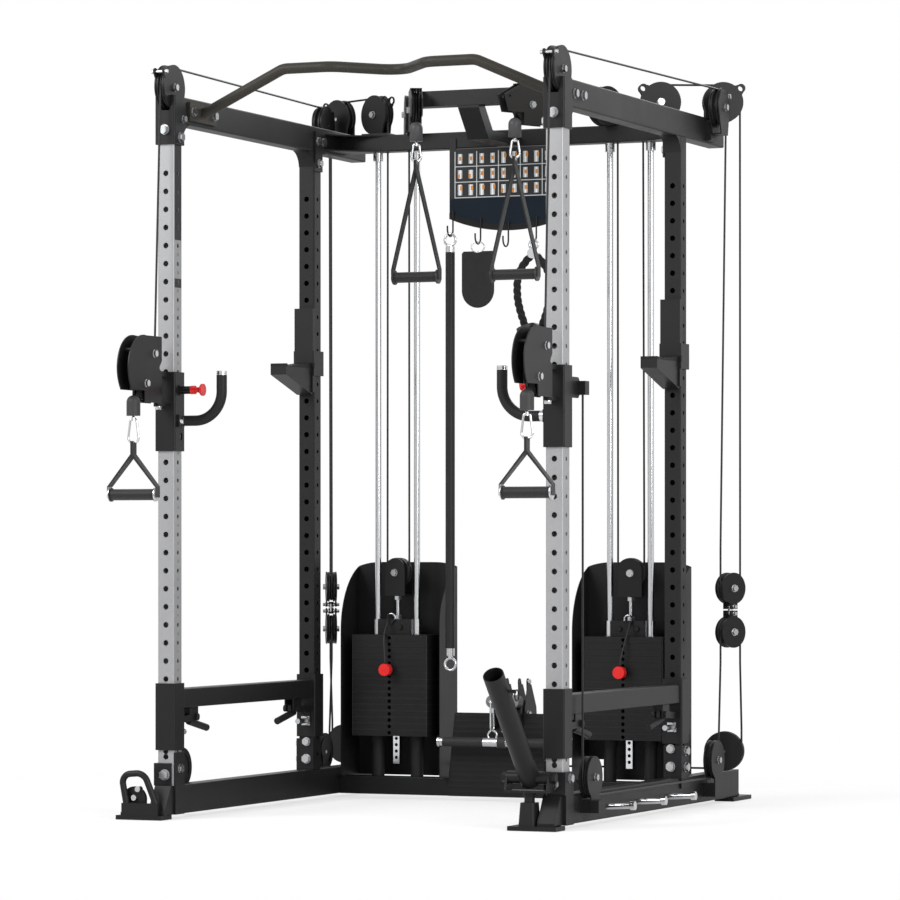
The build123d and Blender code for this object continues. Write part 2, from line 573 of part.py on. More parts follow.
# Shrouds: one sheet bent into a U behind each stack
shroud_half = 162.0
shroud_front = 1044.0
shroud_back = 1178.0
shroud_top = 708.0
shroud_t = 2.0
shroud_r = 205.0
with BuildPart() as stack_shrouds:
    with BuildSketch(Plane.XY.offset(beam_base_top)) as section:
        with BuildLine():
            Polyline((stack_x - shroud_half, shroud_front), (stack_x - shroud_half, shroud_back),
                     (stack_x + shroud_half, shroud_back), (stack_x + shroud_half, shroud_front),
                     (stack_x + shroud_half - shroud_t, shroud_front),
                     (stack_x + shroud_half - shroud_t, shroud_back - shroud_t),
                     (stack_x - shroud_half + shroud_t, shroud_back - shroud_t),
                     (stack_x - shroud_half + shroud_t, shroud_front), close=True)
        make_face()
    extrude(section.sketch, amount=shroud_top - beam_base_top)
    deep = shroud_back - shroud_front
    turn_z = shroud_top - shroud_r + math.sqrt(shroud_r ** 2 - (shroud_r - deep) ** 2)
    mid_z = shroud_top - shroud_r + math.sqrt(shroud_r ** 2 - (shroud_r - deep / 3) ** 2)
    for side_x in (stack_x - shroud_half - 1, stack_x + shroud_half - shroud_t - 1):
        with BuildSketch(Plane(origin=(side_x, 0, 0), x_dir=(0, 1, 0), z_dir=(1, 0, 0))) as side_cut:
            with BuildLine():
                ThreePointArc((shroud_front, shroud_top - shroud_r), (shroud_front + deep / 3, mid_z),
                              (shroud_back, turn_z))
                Polyline((shroud_back, turn_z), (shroud_back, shroud_top + 2), (shroud_front - 2, shroud_top + 2),
                         (shroud_front - 2, shroud_top - shroud_r), (shroud_front, shroud_top - shroud_r))
            make_face()
        extrude(side_cut.sketch, amount=shroud_t + 2, mode=Mode.SUBTRACT)
    rest = shroud_r - deep
    part_z = shroud_top - shroud_r + math.sqrt(shroud_r ** 2 - (rest / 2) ** 2)
    for hand in (-1, 1):
        edge_x = stack_x + hand * shroud_half
        with BuildSketch(Plane(origin=(0, shroud_back + 1, 0), x_dir=(1, 0, 0), z_dir=(0, -1, 0))) as back_cut:
            with BuildLine():
                ThreePointArc((edge_x, turn_z), (edge_x - hand * rest / 2, part_z), (edge_x - hand * rest, shroud_top))
                Polyline((edge_x - hand * rest, shroud_top), (edge_x - hand * rest, shroud_top + 2),
                         (edge_x + hand * 2, shroud_top + 2), (edge_x + hand * 2, turn_z), (edge_x, turn_z))
            make_face()
        extrude(back_cut.sketch, amount=shroud_t + 2, mode=Mode.SUBTRACT)
    # passage of the low cable
    block(205, 262, 1158, shroud_back + 1, beam_base_top - 1, 125, mode=Mode.SUBTRACT)
    both(stack_shrouds)


def weight_plate(level):
    """One plate of the stack, with its rod holes, stem hole and pin hole."""
    base = stack_z + level * plate_pitch
    with BuildSketch(Plane(origin=(stack_x, cross_y, base))) as outline:
        RectangleRounded(plate_w, plate_d, 6)
        with Locations((-rod_half, 0), (rod_half, 0)):
            Circle(12, mode=Mode.SUBTRACT)
        Rectangle(stem + 2, stem + 2, mode=Mode.SUBTRACT)
    extrude(outline.sketch, amount=plate_t)
    rod((stack_x, cross_y, base + plate_t / 2), (stack_x, cross_y - plate_d, base + plate_t / 2),
        pin_r + 0.5, mode=Mode.SUBTRACT)


with BuildPart() as resting_plates:
    for level in range(plate_count - picked):
        weight_plate(level)
    both(resting_plates)

# Band pegs on the outer faces of the base rails
peg_z = 45.0
with BuildPart() as band_pegs:
    for peg_y in (277, 522, 766):
        rod((rail_out + 0.5, peg_y, peg_z), (rail_out + 87, peg_y, peg_z + 5), 8)
        rod((rail_out + 79, peg_y, peg_z + 4.6), (rail_out + 92, peg_y, peg_z + 5.3), 12)
    both(band_pegs)

# Rope anchor beside the left foot
with BuildPart() as rope_anchor:
    block(-695, -555, -100, -26 - 8, 0, rail_base_z)
    block(-695, rail_in * -1 - tube - 1, -34, 23, 0, rail_base_z)
    block(-686, -rail_out - 10, -88, 10, rail_base_z, rail_base_z + 8)
    block(-682, -rail_out - 12, -84, 6, rail_base_z + 8, rail_base_z + 18)
    with BuildSketch(Plane(origin=(-642, -66, rail_base_z + 18), x_dir=(1, 0, 0), z_dir=(0, -1, 0))) as fin:
        with BuildLine():
            Line((-43, 0), (27, 0))
            Line((27, 0), (27, 20))
            ThreePointArc((27, 20), (-8, 61), (-43, 20))
            Line((-43, 20), (-43, 0))
        make_face()
    extrude(fin.sketch, amount=10)
    bent_rod([(-667, -90, 44), (-682, -90, 124), (-612, -90, 130), (-576, -90, 44)], [24, 34], 9)
    block(-678, -566, -99, rail_front_y - 1, rail_base_z, 46)
    for x, z in ((-636, 84), (-648, 60)):
        rod((x, -84, z), (x, -66, z), 8)

# Landmine base plate and pedestal, inside the right foot
mine_x = 523.0
mine_y = -64.0
mine_z = 140.0
with BuildPart() as landmine_base:
    block(473, 612, -100, -32, 0, rail_base_z)
    block(473, rail_in - 1, -32, 20, 0, rail_base_z)
    with BuildSketch(Plane(origin=(mine_x, mine_y, rail_base_z))) as wide_end:
        RectangleRounded(48, 56, 10)
    with BuildSketch(Plane(origin=(mine_x, mine_y, 74))) as narrow_end:
        RectangleRounded(42, 44, 10)
    loft(Sketch() + [wide_end.sketch, narrow_end.sketch])
    rod((mine_x, mine_y, 74), (mine_x, mine_y, 92), 14)

# Wheels that stay on the frame
with BuildPart() as turn_pulleys:
    wheel(outer_plane, big_rim, big_pitch)
    wheel(inner_plane, big_rim, big_pitch)
    wheel(beam_plane, big_rim, big_pitch)
    wheel(lat_plane, big_rim, big_pitch)
    wheel(low_outer_plane, big_rim, big_pitch)
    wheel(low_turn_plane, small_rim, small_pitch)
    both(turn_pulleys)

with BuildPart() as top_front_pulleys:
    wheel(front_plane, top_rim, top_pitch)
    both(top_front_pulleys)
with BuildPart() as top_rear_pulleys:
    wheel(rear_plane, big_rim, big_pitch)
    both(top_rear_pulleys)
with BuildPart() as low_front_pulleys:
    wheel(low_front_plane, big_rim, big_pitch)
    both(low_front_pulleys)
with BuildPart() as low_rear_pulleys:
    wheel(low_rear_plane, big_rim, big_pitch)
    both(low_rear_pulleys)
with BuildPart() as row_pulleys:
    wheel(row_plane, small_rim, small_pitch)
    both(row_pulleys)


def tangent_line(c0, r0, side0, c1, r1, side1):
    """Where a line that runs past two circles touches them; side is 1 for a circle on its left."""
    across = (c1[0] - c0[0], c1[1] - c0[1])
    reach = math.hypot(*across)
    offset = side1 * r1 - side0 * r0
    angle = math.atan2(across[1], across[0]) - math.atan2(offset, math.sqrt(reach ** 2 - offset ** 2))
    nx = -math.sin(angle)
    ny = math.cos(angle)
    return (c0[0] - side0 * r0 * nx, c0[1] - side0 * r0 * ny), (c1[0] - side1 * r1 * nx, c1[1] - side1 * r1 * ny)


def crossing(a0, a1, b0, b1):
    """Where two lines in a plane meet."""
    ax = a1[0] - a0[0]
    ay = a1[1] - a0[1]
    bx = b1[0] - b0[0]
    by = b1[1] - b0[1]
    share = ((b0[0] - a0[0]) * by - (b0[1] - a0[1]) * bx) / (ax * by - ay * bx)
    return (a0[0] + share * ax, a0[1] + share * ay)


def beside(centre, direction, reach):
    """The point beside a wheel's centre at a distance along its own plane."""
    return (centre[0] + direction[0] * reach, centre[1] + direction[1] * reach)


# Cable routes on the right; each stays in its wheel's groove and shifts sideways between wheels
ball_top = 1166.0
lat_ball_top = 1985.0
kink = 60.0
up_line = tangent_line(head_low, small_pitch, -1, head_up, small_pitch, 1)
leg_line = tangent_line(head_up, small_pitch, 1, (front_wheel[1], front_wheel[2]), top_pitch, -1)
head_a = crossing((drop_y, 0), (drop_y, 1000), *up_line)
head_b = crossing(*up_line, *leg_line)
top_z = front_wheel[2] + top_pitch
head_c = crossing(*leg_line, (0, top_z), (100, top_z))
rear_z = rear_wheel[2] + big_pitch
rear_leg_y = rear_wheel[1] + big_pitch
leg_in = beside((block_x, block_y), e_block, -small_pitch)
leg_out = beside((block_x, block_y), e_block, small_pitch)
corner_leg = beside(outer_wheel, e_corner, big_pitch)
corner_z = outer_wheel[2] + big_pitch
inner_leg = beside(inner_wheel, e_corner, -big_pitch)
beam_leg = beside(beam_wheel, e_lat, big_pitch)
fall = math.atan2(beam_wheel[2] - lat_wheel[2],
                  math.hypot(beam_wheel[0] - lat_wheel[0], beam_wheel[1] - lat_wheel[1]))
rise = big_pitch / math.cos(fall)
u_low = block_up_z - small_pitch
u_high = block_low_z + small_pitch
u_stack = stack_wheel_z - small_pitch
upper_route = [
    (upright_x, drop_y, ball_top), (upright_x, *head_a), (upright_x, *head_b), (upright_x, *head_c),
    (upright_x, 62, top_z), (rear_wheel[0], rear_wheel[1] - 60, rear_z), (rear_wheel[0], rear_leg_y, rear_z),
    (rear_wheel[0], rear_leg_y, rear_wheel[2] - 70), (*leg_in, block_up_z + 120), (*leg_in, u_low),
    (*leg_out, u_low), (*leg_out, block_up_z + 120), (*corner_leg, outer_wheel[2] - 70), (*corner_leg, corner_z),
    (*inner_leg, inner_wheel[2] + big_pitch), (*inner_leg, beam_top_z - 30), (*stack_out, stack_wheel_z + 120),
    (*stack_out, u_stack), (*stack_in, u_stack), (*stack_in, stack_wheel_z + 120), (*beam_leg, beam_top_z - 30),
    (*beam_leg, beam_wheel[2] + rise + big_pitch * math.tan(fall)),
    (*lat_drop, lat_wheel[2] + rise - big_pitch * math.tan(fall)), (*lat_drop, lat_ball_top)]
upper_radii = [small_pitch, small_pitch, top_pitch, kink, kink, big_pitch, kink, kink, small_pitch, small_pitch,
               kink, kink, big_pitch, big_pitch, kink, kink, small_pitch, small_pitch, kink, kink, big_pitch,
               big_pitch]
anchor_z = 1160.0
row_ball_y = cross_y - small_pitch - 4
low_z = low_front[2] - big_pitch
low_back_z = low_rear[2] - big_pitch
outer_low = beside(low_outer, e_low, big_pitch)
turn_leg = beside(low_turn, e_low, -small_pitch)
row_top_z = row_wheel[2] + small_pitch
lower_route = [
    (low_front[0], anchor_y, anchor_z), (low_front[0], anchor_y, low_z), (low_front[0], low_front[1] + 60, low_z),
    (low_rear[0], low_rear[1] - 60, low_back_z), (low_rear[0], low_rear[1] + big_pitch, low_back_z),
    (low_rear[0], low_rear[1] + big_pitch, low_rear[2] + 60), (*leg_in, block_low_z - 90), (*leg_in, u_high),
    (*leg_out, u_high), (*leg_out, block_low_z - 90), (*outer_low, low_outer[2] + 70),
    (*outer_low, low_outer[2] - big_pitch), (*turn_leg, low_turn[2] - small_pitch),
    (row_wheel[0], cross_y + small_pitch, row_wheel[2] - 40), (row_wheel[0], cross_y + small_pitch, row_top_z),
    (row_wheel[0], row_ball_y, row_top_z)]
lower_radii = [big_pitch, kink, kink, big_pitch, kink, kink, small_pitch, small_pitch, kink, kink, big_pitch,
               small_pitch, kink, small_pitch]
u_bend = (math.dist(leg_in, leg_out)) / 2
stack_bend = (math.dist(stack_in, stack_out)) / 2
upper_radii[8] = u_bend
upper_radii[9] = u_bend
upper_radii[16] = stack_bend
upper_radii[17] = stack_bend
lower_radii[6] = u_bend
lower_radii[7] = u_bend

ball_h = 56.0
ball_r = 19.0


def ball_stop(x, y, top):
    """The round-topped stop crimped on a cable's end."""
    rod((x, y, top - ball_h), (x, y, top - ball_r), ball_r)
    with Locations((x, y, top - ball_r)):
        Sphere(ball_r)


with BuildPart() as cables:
    bent_rod(upper_route, upper_radii, cable_r)
    bent_rod(lower_route, lower_radii, cable_r)
    ball_stop(*lat_drop, lat_ball_top)
    both(cables)

# Trolleys that carry the adjustable pulley heads
pin_z = hole_first_z + pin_row * hole_pitch
trolley_top = trolley_z + trolley_h
barrel_x = upright_x - sleeve / 2 - 35
ear_low = 1140.0
ear_high = 1223.0
with BuildPart() as trolley_right:
    collar(upright_x, 0, trolley_z, trolley_h, sleeve, sleeve_in)
    face_x = upright_x - sleeve / 2
    rod((face_x, 0, pin_z), (barrel_x, 0, pin_z), 11)
    rod((face_x, 0, pin_z), (face_x - 4, 0, pin_z), 14)
    rod((face_x + 6, 0, pin_z), (barrel_x - 1, 0, pin_z), side_hole_r, mode=Mode.SUBTRACT)
    # handle and its base
    block(face_x - 6, face_x, -17, 17, 1085, 1119)
    bent_rod([(face_x - 1, 0, 1102), (418, 0, 1102), (418, 0, 1238)], [80], 14.5)
    # sight slot
    with BuildSketch(Plane(origin=(face_x - 1, 8, 1059), x_dir=(0, 1, 0), z_dir=(1, 0, 0))) as slot:
        SlotOverall(22, 14, rotation=90)
    extrude(slot.sketch, amount=8, mode=Mode.SUBTRACT)
    # hinge ears and their pin
    for ear_z, ear_t in ((ear_low, 11), (ear_high, 14)):
        block(upright_x - 12.5, upright_x + 12.5, pivot_y, -sleeve / 2, ear_z, ear_z + ear_t)
        rod((upright_x, pivot_y, ear_z), (upright_x, pivot_y, ear_z + ear_t), 12.5)
    rod((upright_x, pivot_y, ear_low - 1), (upright_x, pivot_y, ear_high + 15), axle_r)
    hex_head((upright_x, pivot_y, ear_high + 14), (0, 0, 1))
    hex_head((upright_x, pivot_y, ear_low), (0, 0, -1))
    # cable anchor behind the sleeve
    sheet_part(Plane(origin=(low_front[0] - 14, 0, 0), x_dir=(0, 1, 0), z_dir=(1, 0, 0)),
               [(sleeve / 2 - 5, 1151), (74, 1151), (92, 1169), (92, 1189), (74, 1207), (sleeve / 2 - 5, 1207)], 6)
    block(low_front[0] - 14, low_front[0] + 13, anchor_y - 15, anchor_y + 15, anchor_z, 1197)
with BuildPart() as trolley_left:
    mirror(trolley_right.part, about=Plane.YZ)

# Spring pins
with BuildPart() as pop_pin_right:
    rod((upright_x - sleeve / 2 + 5, 0, pin_z), (barrel_x - 4, 0, pin_z), side_hole_r - axle_gap)
    rod((barrel_x - 1, 0, pin_z), (barrel_x - 13, 0, pin_z), 12)
    rod((barrel_x - 13, 0, pin_z), (barrel_x - 26, 0, pin_z), 7.5)
    with BuildSketch(Plane(origin=(barrel_x - 24, 0, pin_z), z_dir=(-1, 0, 0))) as throat:
        Circle(7.5)
    with BuildSketch(Plane(origin=(barrel_x - 33, 0, pin_z), z_dir=(-1, 0, 0))) as mouth:
        Circle(17)
    loft(Sketch() + [throat.sketch, mouth.sketch])
    rod((barrel_x - 33, 0, pin_z), (barrel_x - 38, 0, pin_z), 17)
with BuildPart() as pop_pin_left:
    mirror(pop_pin_right.part, about=Plane.YZ)

# Swivelling pulley heads
head_in = 15.0
head_t = 3.5
with BuildPart() as swivel_head_right:
    centre = wheel_plane(upright_x, -190, 1240)
    cheeks(centre, discs=[(0, 0, 92)],
           panels=[[(0, 91), (105, 91), (105, 24), (88, 4), (105, -6), (105, -92), (0, -92)]],
           near=head_in, thick=head_t)
    for spot in (head_up_plane, head_low_plane):
        wheel(spot, small_rim, small_pitch, bore=4)
        axle(spot, reach=head_in + head_t)
    block(upright_x - 30, upright_x + 30, -285, -186, 1140, 1180, mode=Mode.SUBTRACT)
    ball_stop(upright_x, drop_y, ball_top)
    # knuckle, web and cross plate
    rod((upright_x, pivot_y, ear_low + 11.5), (upright_x, pivot_y, ear_high - 0.5), 11.5, bore=axle_r + axle_gap)
    block(upright_x - 8, upright_x + 8, -87, pivot_y - 6, ear_low + 11.5, ear_high - 0.5)
    block(upright_x - head_in, upright_x + head_in, -87.5, -85, ear_low + 11.5, ear_high - 0.5)
    rod((upright_x - head_in, -100, 1160), (upright_x + head_in, -100, 1160), 5)
    rod((upright_x - head_in, -240, 1290), (upright_x + head_in, -240, 1290), 5)
with BuildPart() as swivel_head_left:
    mirror(swivel_head_right.part, about=Plane.YZ)


strap_w = 24.0
pivot_r = 5.0
pivot_drop = pivot_r + 0.3


def hanging_handle(x, y, ball_low, grip_at, clip, apex, flare):
    """A snap hook, webbing and grip that hang from a ball stop."""
    clip_low = ball_low - clip
    rod((x, y, ball_low - pivot_drop), (x, y, ball_low - 14), pivot_r)
    with Locations((x, y, ball_low - pivot_drop)):
        Sphere(pivot_r)
    bent_rod([(x, y, clip_low + 4), (x + 17.5, y, clip_low + 4), (x + 9, y, ball_low - 9),
              (x - 9, y, ball_low - 9), (x - 17.5, y, clip_low + 4), (x, y, clip_low + 4)],
             [13, 7.5, 7.5, 13], 3.2)
    half = 71.0
    for hand in (-1, 1):
        sheet_part(Plane(origin=(x, y + strap_w / 2, 0), x_dir=(1, 0, 0), z_dir=(0, -1, 0)),
                   [(0, apex - 4), (hand * 3.6, apex + 2), (hand * (half + 4), grip_at + 22),
                    (hand * (half + 4), grip_at - 8), (hand * (half + 0.5), grip_at - 8),
                    (hand * (half + 0.5), grip_at + 20)], strap_w)
    block(x - 3.6, x + 3.6, y - strap_w / 2, y + strap_w / 2, apex - 6, clip_low + 8)
    rod((x - half - 1, y, grip_at), (x + half + 1, y, grip_at), 15.5)
    for hand in (-1, 1):
        rod((x + hand * half, y, grip_at), (x + hand * (half - 5), y, grip_at), flare)


with BuildPart() as d_handle_right:
    hanging_handle(upright_x, drop_y, ball_top - ball_h, 895, 77, 1003, 19)
with BuildPart() as d_handle_left:
    mirror(d_handle_right.part, about=Plane.YZ)
with BuildPart() as lat_handle_right:
    hanging_handle(lat_drop[0], lat_drop[1], lat_ball_top - ball_h, 1535, 63, 1846, 21)
with BuildPart() as lat_handle_left:
    mirror(lat_handle_right.part, about=Plane.YZ)

# Stack carriages: the picked plates, head block, stem, yoke and wheel
head_base = stack_z + plate_count * plate_pitch
head_h = 45.6
yoke_z = 607.0
stem_low = 104.0
with BuildPart() as stack_carriage_right:
    for level in range(plate_count - picked, plate_count):
        weight_plate(level)
    block(stack_x - 52, stack_x + 52, cross_y - 30, cross_y + 30, head_base, head_base + head_h)
    for rod_x in (stack_x - rod_half, stack_x + rod_half):
        rod((rod_x, cross_y, head_base), (rod_x, cross_y, head_base + head_h), 14)
    for rod_x in (stack_x - rod_half, stack_x + rod_half):
        rod((rod_x, cross_y, head_base - 1), (rod_x, cross_y, head_base + head_h + 1), rod_r + axle_gap,
            mode=Mode.SUBTRACT)
    block(stack_x - stem / 2, stack_x + stem / 2, cross_y - stem / 2, cross_y + stem / 2, stem_low, head_base)
    hole_z = [stack_z + level * plate_pitch + plate_t / 2 for level in range(plate_count)]
    hole_z += [stack_z - (k + 1) * plate_pitch + plate_t / 2 for k in range(4)]
    with BuildSketch(Plane(origin=(0, cross_y - stem, 0), x_dir=(1, 0, 0), z_dir=(0, -1, 0))) as stem_holes:
        with Locations(*[(stack_x, z) for z in hole_z]):
            Circle(pin_r + axle_gap)
    extrude(stem_holes.sketch, amount=-2 * stem, mode=Mode.SUBTRACT)
    # lifting bolt and nuts
    rod((stack_x, cross_y + 3, head_base + head_h), (stack_x, cross_y + 3, yoke_z), 6)
    for nut_z in (head_base + head_h, yoke_z - 12):
        with BuildSketch(Plane(origin=(stack_x, cross_y + 3, nut_z))) as nut:
            RegularPolygon(10, 6, major_radius=False)
        extrude(nut.sketch, amount=12)
    with BuildSketch(Plane(origin=(stack_x, cross_y + 6, yoke_z), x_dir=(*e_stack, 0), z_dir=(0, 0, 1))) as base:
        Rectangle(70, 40)
    extrude(base.sketch, amount=5)
    cheeks(stack_plane, discs=[(0, 9, 35)],
           panels=[[(-35, yoke_z - stack_wheel_z), (35, yoke_z - stack_wheel_z), (35, 9), (-35, 9)]],
           near=16, thick=4)
    wheel(stack_plane, small_rim, small_pitch, bore=4)
    axle(stack_plane, reach=20)
    ring((stack_x + 6, cross_y - 33, head_base + head_h + 4), (0, 1, 0), 12.5, 2.5)
    block(stack_x + 1, stack_x + 11, cross_y - 36, cross_y - 30, head_base + head_h - 16, head_base + head_h - 7)
    for bolt_x in (-22, 32):
        hex_head((stack_x + bolt_x, cross_y - 30, head_base + 22), (0, -1, 0), 13, 5)
with BuildPart() as stack_carriage_left:
    mirror(stack_carriage_right.part, about=Plane.YZ)

# Selector pins and their lanyards
select_z = stack_z + (plate_count - picked) * plate_pitch + plate_t / 2
with BuildPart() as selector_pin_right:
    rod((stack_x, cross_y + stem / 2, select_z), (stack_x, cross_y - plate_d / 2 - 20, select_z), pin_r)
    rod((stack_x, cross_y - plate_d / 2 - 17, select_z), (stack_x, cross_y - plate_d / 2 - 38, select_z), 18)
with BuildPart() as selector_pin_left:
    mirror(selector_pin_right.part, about=Plane.YZ)


def cord(points, radius):
    """A round cord through chosen points, with arcs sized by the shorter run at each."""
    radii = []
    for k in range(1, len(points) - 1):
        back = Vector(*points[k - 1]) - Vector(*points[k])
        ahead = Vector(*points[k + 1]) - Vector(*points[k])
        turn = math.radians(180 - back.get_angle(ahead))
        radii.append(0.45 * min(back.length, ahead.length) / math.tan(turn / 2))
    print("cord radii", [round(r, 1) for r in radii])
    bent_rod(points, radii, radius)
    return radii


lanyard_r = 2.5
lanyard_points = [(stack_x + 14, cross_y - 39, head_base + head_h - 5), (stack_x + 15, cross_y - 65, head_base + head_h - 33),
                  (stack_x + 10, cross_y - 80, head_base + head_h - 72), (stack_x + 3, cross_y - 88, head_base + head_h - 104),
                  (stack_x + 1, cross_y - 91, select_z + 18.4)]
with BuildPart() as lanyard_right:
    cord(lanyard_points, lanyard_r)
with BuildPart() as lanyard_left:
    mirror(lanyard_right.part, about=Plane.YZ)

# Floating double pulley blocks
neck = 14.0
with BuildPart() as floating_block_right:
    cheeks(block_up, discs=[(0, 0, 46)],
           panels=[[(-neck, -61), (neck, -61), (neck, 0), (-neck, 0)]])
    cheeks(block_low, discs=[(0, 0, 46)],
           panels=[[(-neck, 63), (neck, 63), (neck, 0), (-neck, 0)]])
    for spot in (block_up, block_low):
        wheel(spot, small_rim, small_pitch, bore=4)
        axle(spot)
    axle(block_up, t=-54, across=10, shank=5)
    axle(block_low, t=54, across=10, shank=5)
    rod((block_x, block_y, block_low_z + small_rim + 1), (block_x, block_y, block_up_z - small_rim - 1), 8)
with BuildPart() as floating_block_left:
    mirror(floating_block_right.part, about=Plane.YZ)

# Safety arms that run between front and rear uprights
lock_z = hole_first_z + 3 * hole_pitch
arm_base = 306.0
arm_h = 53.0
lever_y = 132.0
lever_z = 277.0
with BuildPart() as safety_bar_right:
    for y in (0, rear_y):
        collar(upright_x, y, bar_z, bar_h, sleeve, sleeve_in)
    box_tube(Plane(origin=(upright_x, sleeve / 2, arm_base + arm_h / 2), x_dir=(1, 0, 0), z_dir=(0, 1, 0)),
             tube, arm_h, rear_y - sleeve)
    for y, way in ((0, 1), (rear_y, -1)):
        # hanger plates with a window, and the lock pin in its boss
        for side in (-1, 1):
            sheet_part(Plane(origin=(upright_x + side * 13 - 2, 0, 0), x_dir=(0, 1, 0), z_dir=(1, 0, 0)),
                       [(y + way * 92, arm_base), (y + way * 146, arm_base), (y + way * 146, 268),
                        (y + way * 31, 262), (y + way * 31, 280), (y + way * 92, 284)], 4)
        rod((upright_x - 16, y + way * lever_y, lever_z), (upright_x + 16, y + way * lever_y, lever_z), 6.35,
            mode=Mode.SUBTRACT)
        rod((upright_x, y + way * 17, lock_z), (upright_x, y + way * 88, lock_z), hole_r - axle_gap)
        rod((upright_x, y + way * 31, lock_z), (upright_x, y + way * 40, lock_z), 13)
        block(upright_x - 15, upright_x + 15, y + way * 30, y + way * 34, lock_z, 266)
with BuildPart() as safety_bar_left:
    mirror(safety_bar_right.part, about=Plane.YZ)


def lever(y, way):
    """A lever that draws a lock pin: pivot, arm and grip under the safety arm."""
    rod((upright_x - 19, y + way * lever_y, lever_z), (upright_x + 19, y + way * lever_y, lever_z), 6)
    for side in (-1, 1):
        rod((upright_x + side * 15.5, y + way * lever_y, lever_z), (upright_x + side * 22, y + way * lever_y, lever_z), 10)
    block(upright_x - 5, upright_x + 5, y + way * (lever_y - 12), y + way * (lever_y + 12), lever_z - 20, lever_z + 10)
    rod((upright_x, y + way * (lever_y - 16), lever_z - 12), (upright_x, y + way * (lever_y + 96), lever_z - 34), 10)


levers = {}
for name, y, way in (("front", 0, 1), ("rear", rear_y, -1)):
    with BuildPart() as lever_right:
        lever(y, way)
    with BuildPart() as lever_left:
        mirror(lever_right.part, about=Plane.YZ)
    levers["safety_lever_" + name + "_right"] = lever_right
    levers["safety_lever_" + name + "_left"] = lever_left

# Landmine yoke and tube
yoke_half = 63.0
mine_dir = Vector(0, -253, 280).normalized()
with BuildPart() as landmine_yoke:
    rod((mine_x, mine_y, 92.5), (mine_x, mine_y, 107), 17)
    block(mine_x - yoke_half, mine_x + yoke_half, mine_y - 28, mine_y + 17, 101, 107)
    for side in (-1, 1):
        cheek_x = mine_x + side * (yoke_half - 3)
        with BuildSketch(Plane(origin=(cheek_x - 3, mine_y, mine_z), x_dir=(0, 1, 0), z_dir=(1, 0, 0))) as cheek:
            with BuildLine():
                Polyline((-26, -33), (17, -33), (17, 0), (-17, 0), close=True)
            make_face()
            Circle(17)
        extrude(cheek.sketch, amount=6)
        hex_head((mine_x + side * yoke_half, mine_y, mine_z), (side, 0, 0), 24, 12)
with BuildPart() as landmine_tube:
    pivot = Vector(mine_x, mine_y, mine_z)
    rod((mine_x - yoke_half + 6.3, mine_y, mine_z), (mine_x + yoke_half - 6.3, mine_y, mine_z), 17)
    rod(pivot - mine_dir * 14, pivot + mine_dir * 377, 28)
    rod(pivot + mine_dir * 20, pivot + mine_dir * 378, 25.5, mode=Mode.SUBTRACT)
    across = Vector(0, 280, 253).normalized()
    spot = pivot + mine_dir * 318
    rod(spot + across * 20, spot + across * 29, 6, mode=Mode.SUBTRACT)
    rod(spot + Vector(27, 0, 0), spot + Vector(47, 0, 0), 5)
    ring(spot + Vector(46, 0, 0) - mine_dir * 14, (1, 0, 0), 14, 2)

# Hung accessories
hang_y = shank_y - hook_bend
lat_x = -2 * hook_step
with BuildPart() as lat_bar:
    ring_z = hook_low[-2] + 2 * hook_r + 4.3 - 17.5
    ring((lat_x, hang_y, ring_z), (0, 1, 0), 17.5, 4)
    rod((lat_x, hang_y, ring_z - 17), (lat_x, hang_y, 1640), 8)
    rod((lat_x, hang_y, 1645), (lat_x, hang_y, 1628), 14)
    rod((lat_x, hang_y, 1628), (lat_x, hang_y, 452), 14)
    rod((lat_x, hang_y, 452), (lat_x, hang_y, 430), 13)
    rod((lat_x, hang_y, 430), (lat_x, hang_y, 420), 8)
    ring((lat_x, hang_y, 405), (0, 1, 0), 17.5, 4)

cuff_x = -hook_step
with BuildPart() as ankle_cuff:
    with BuildSketch(Plane(origin=(cuff_x, hang_y - 5, 0), x_dir=(1, 0, 0), z_dir=(0, -1, 0))) as strap:
        with Locations((0, 1546 + 12)):
            RectangleRounded(104, 142, 4)
        with Locations((0, 1461 + 52)):
            Circle(52)
    extrude(strap.sketch, amount=-12)
    cuff_ring = hook_low[-1] + 2 * hook_r + 3.8 - 15.5
    ring((cuff_x, hang_y, cuff_ring), (0, 1, 0), 15.5, 3.5)
    block(cuff_x - 22, cuff_x + 22, hang_y - 9, hang_y - 3, 1600, cuff_ring - 10)

rope_r = 12.0
rope_x = hook_step
rope_ring = hook_low[1] + 2 * hook_r + 3.8 - 13.5
rope_points = [(rope_x - 12, hang_y, 1607.5), (rope_x - 48, hang_y, 1572), (rope_x - 54, hang_y, 1513),
               (rope_x - 47, hang_y, 1456), (rope_x - 27, hang_y, 1404)]
with BuildPart() as triceps_rope:
    for hand in (-1, 1):
        cord([(rope_x + hand * (rope_x - x), y, z) for x, y, z in rope_points], rope_r)
with BuildPart() as rope_fittings:
    ring((rope_x, hang_y, rope_ring), (0, 1, 0), 13.5, 3.5)
    rod((rope_x, hang_y - 15, 1617), (rope_x, hang_y + 15, 1617), 15)
    for hand in (-1, 1):
        end = Vector(rope_x + hand * 27, hang_y, 1404)
        way = Vector(-hand * 20, 0, -52).normalized()
        rod(end + way * 0.3, end + way * 10, 28)
        rod(end + way * 10, end + way * 30, 20)

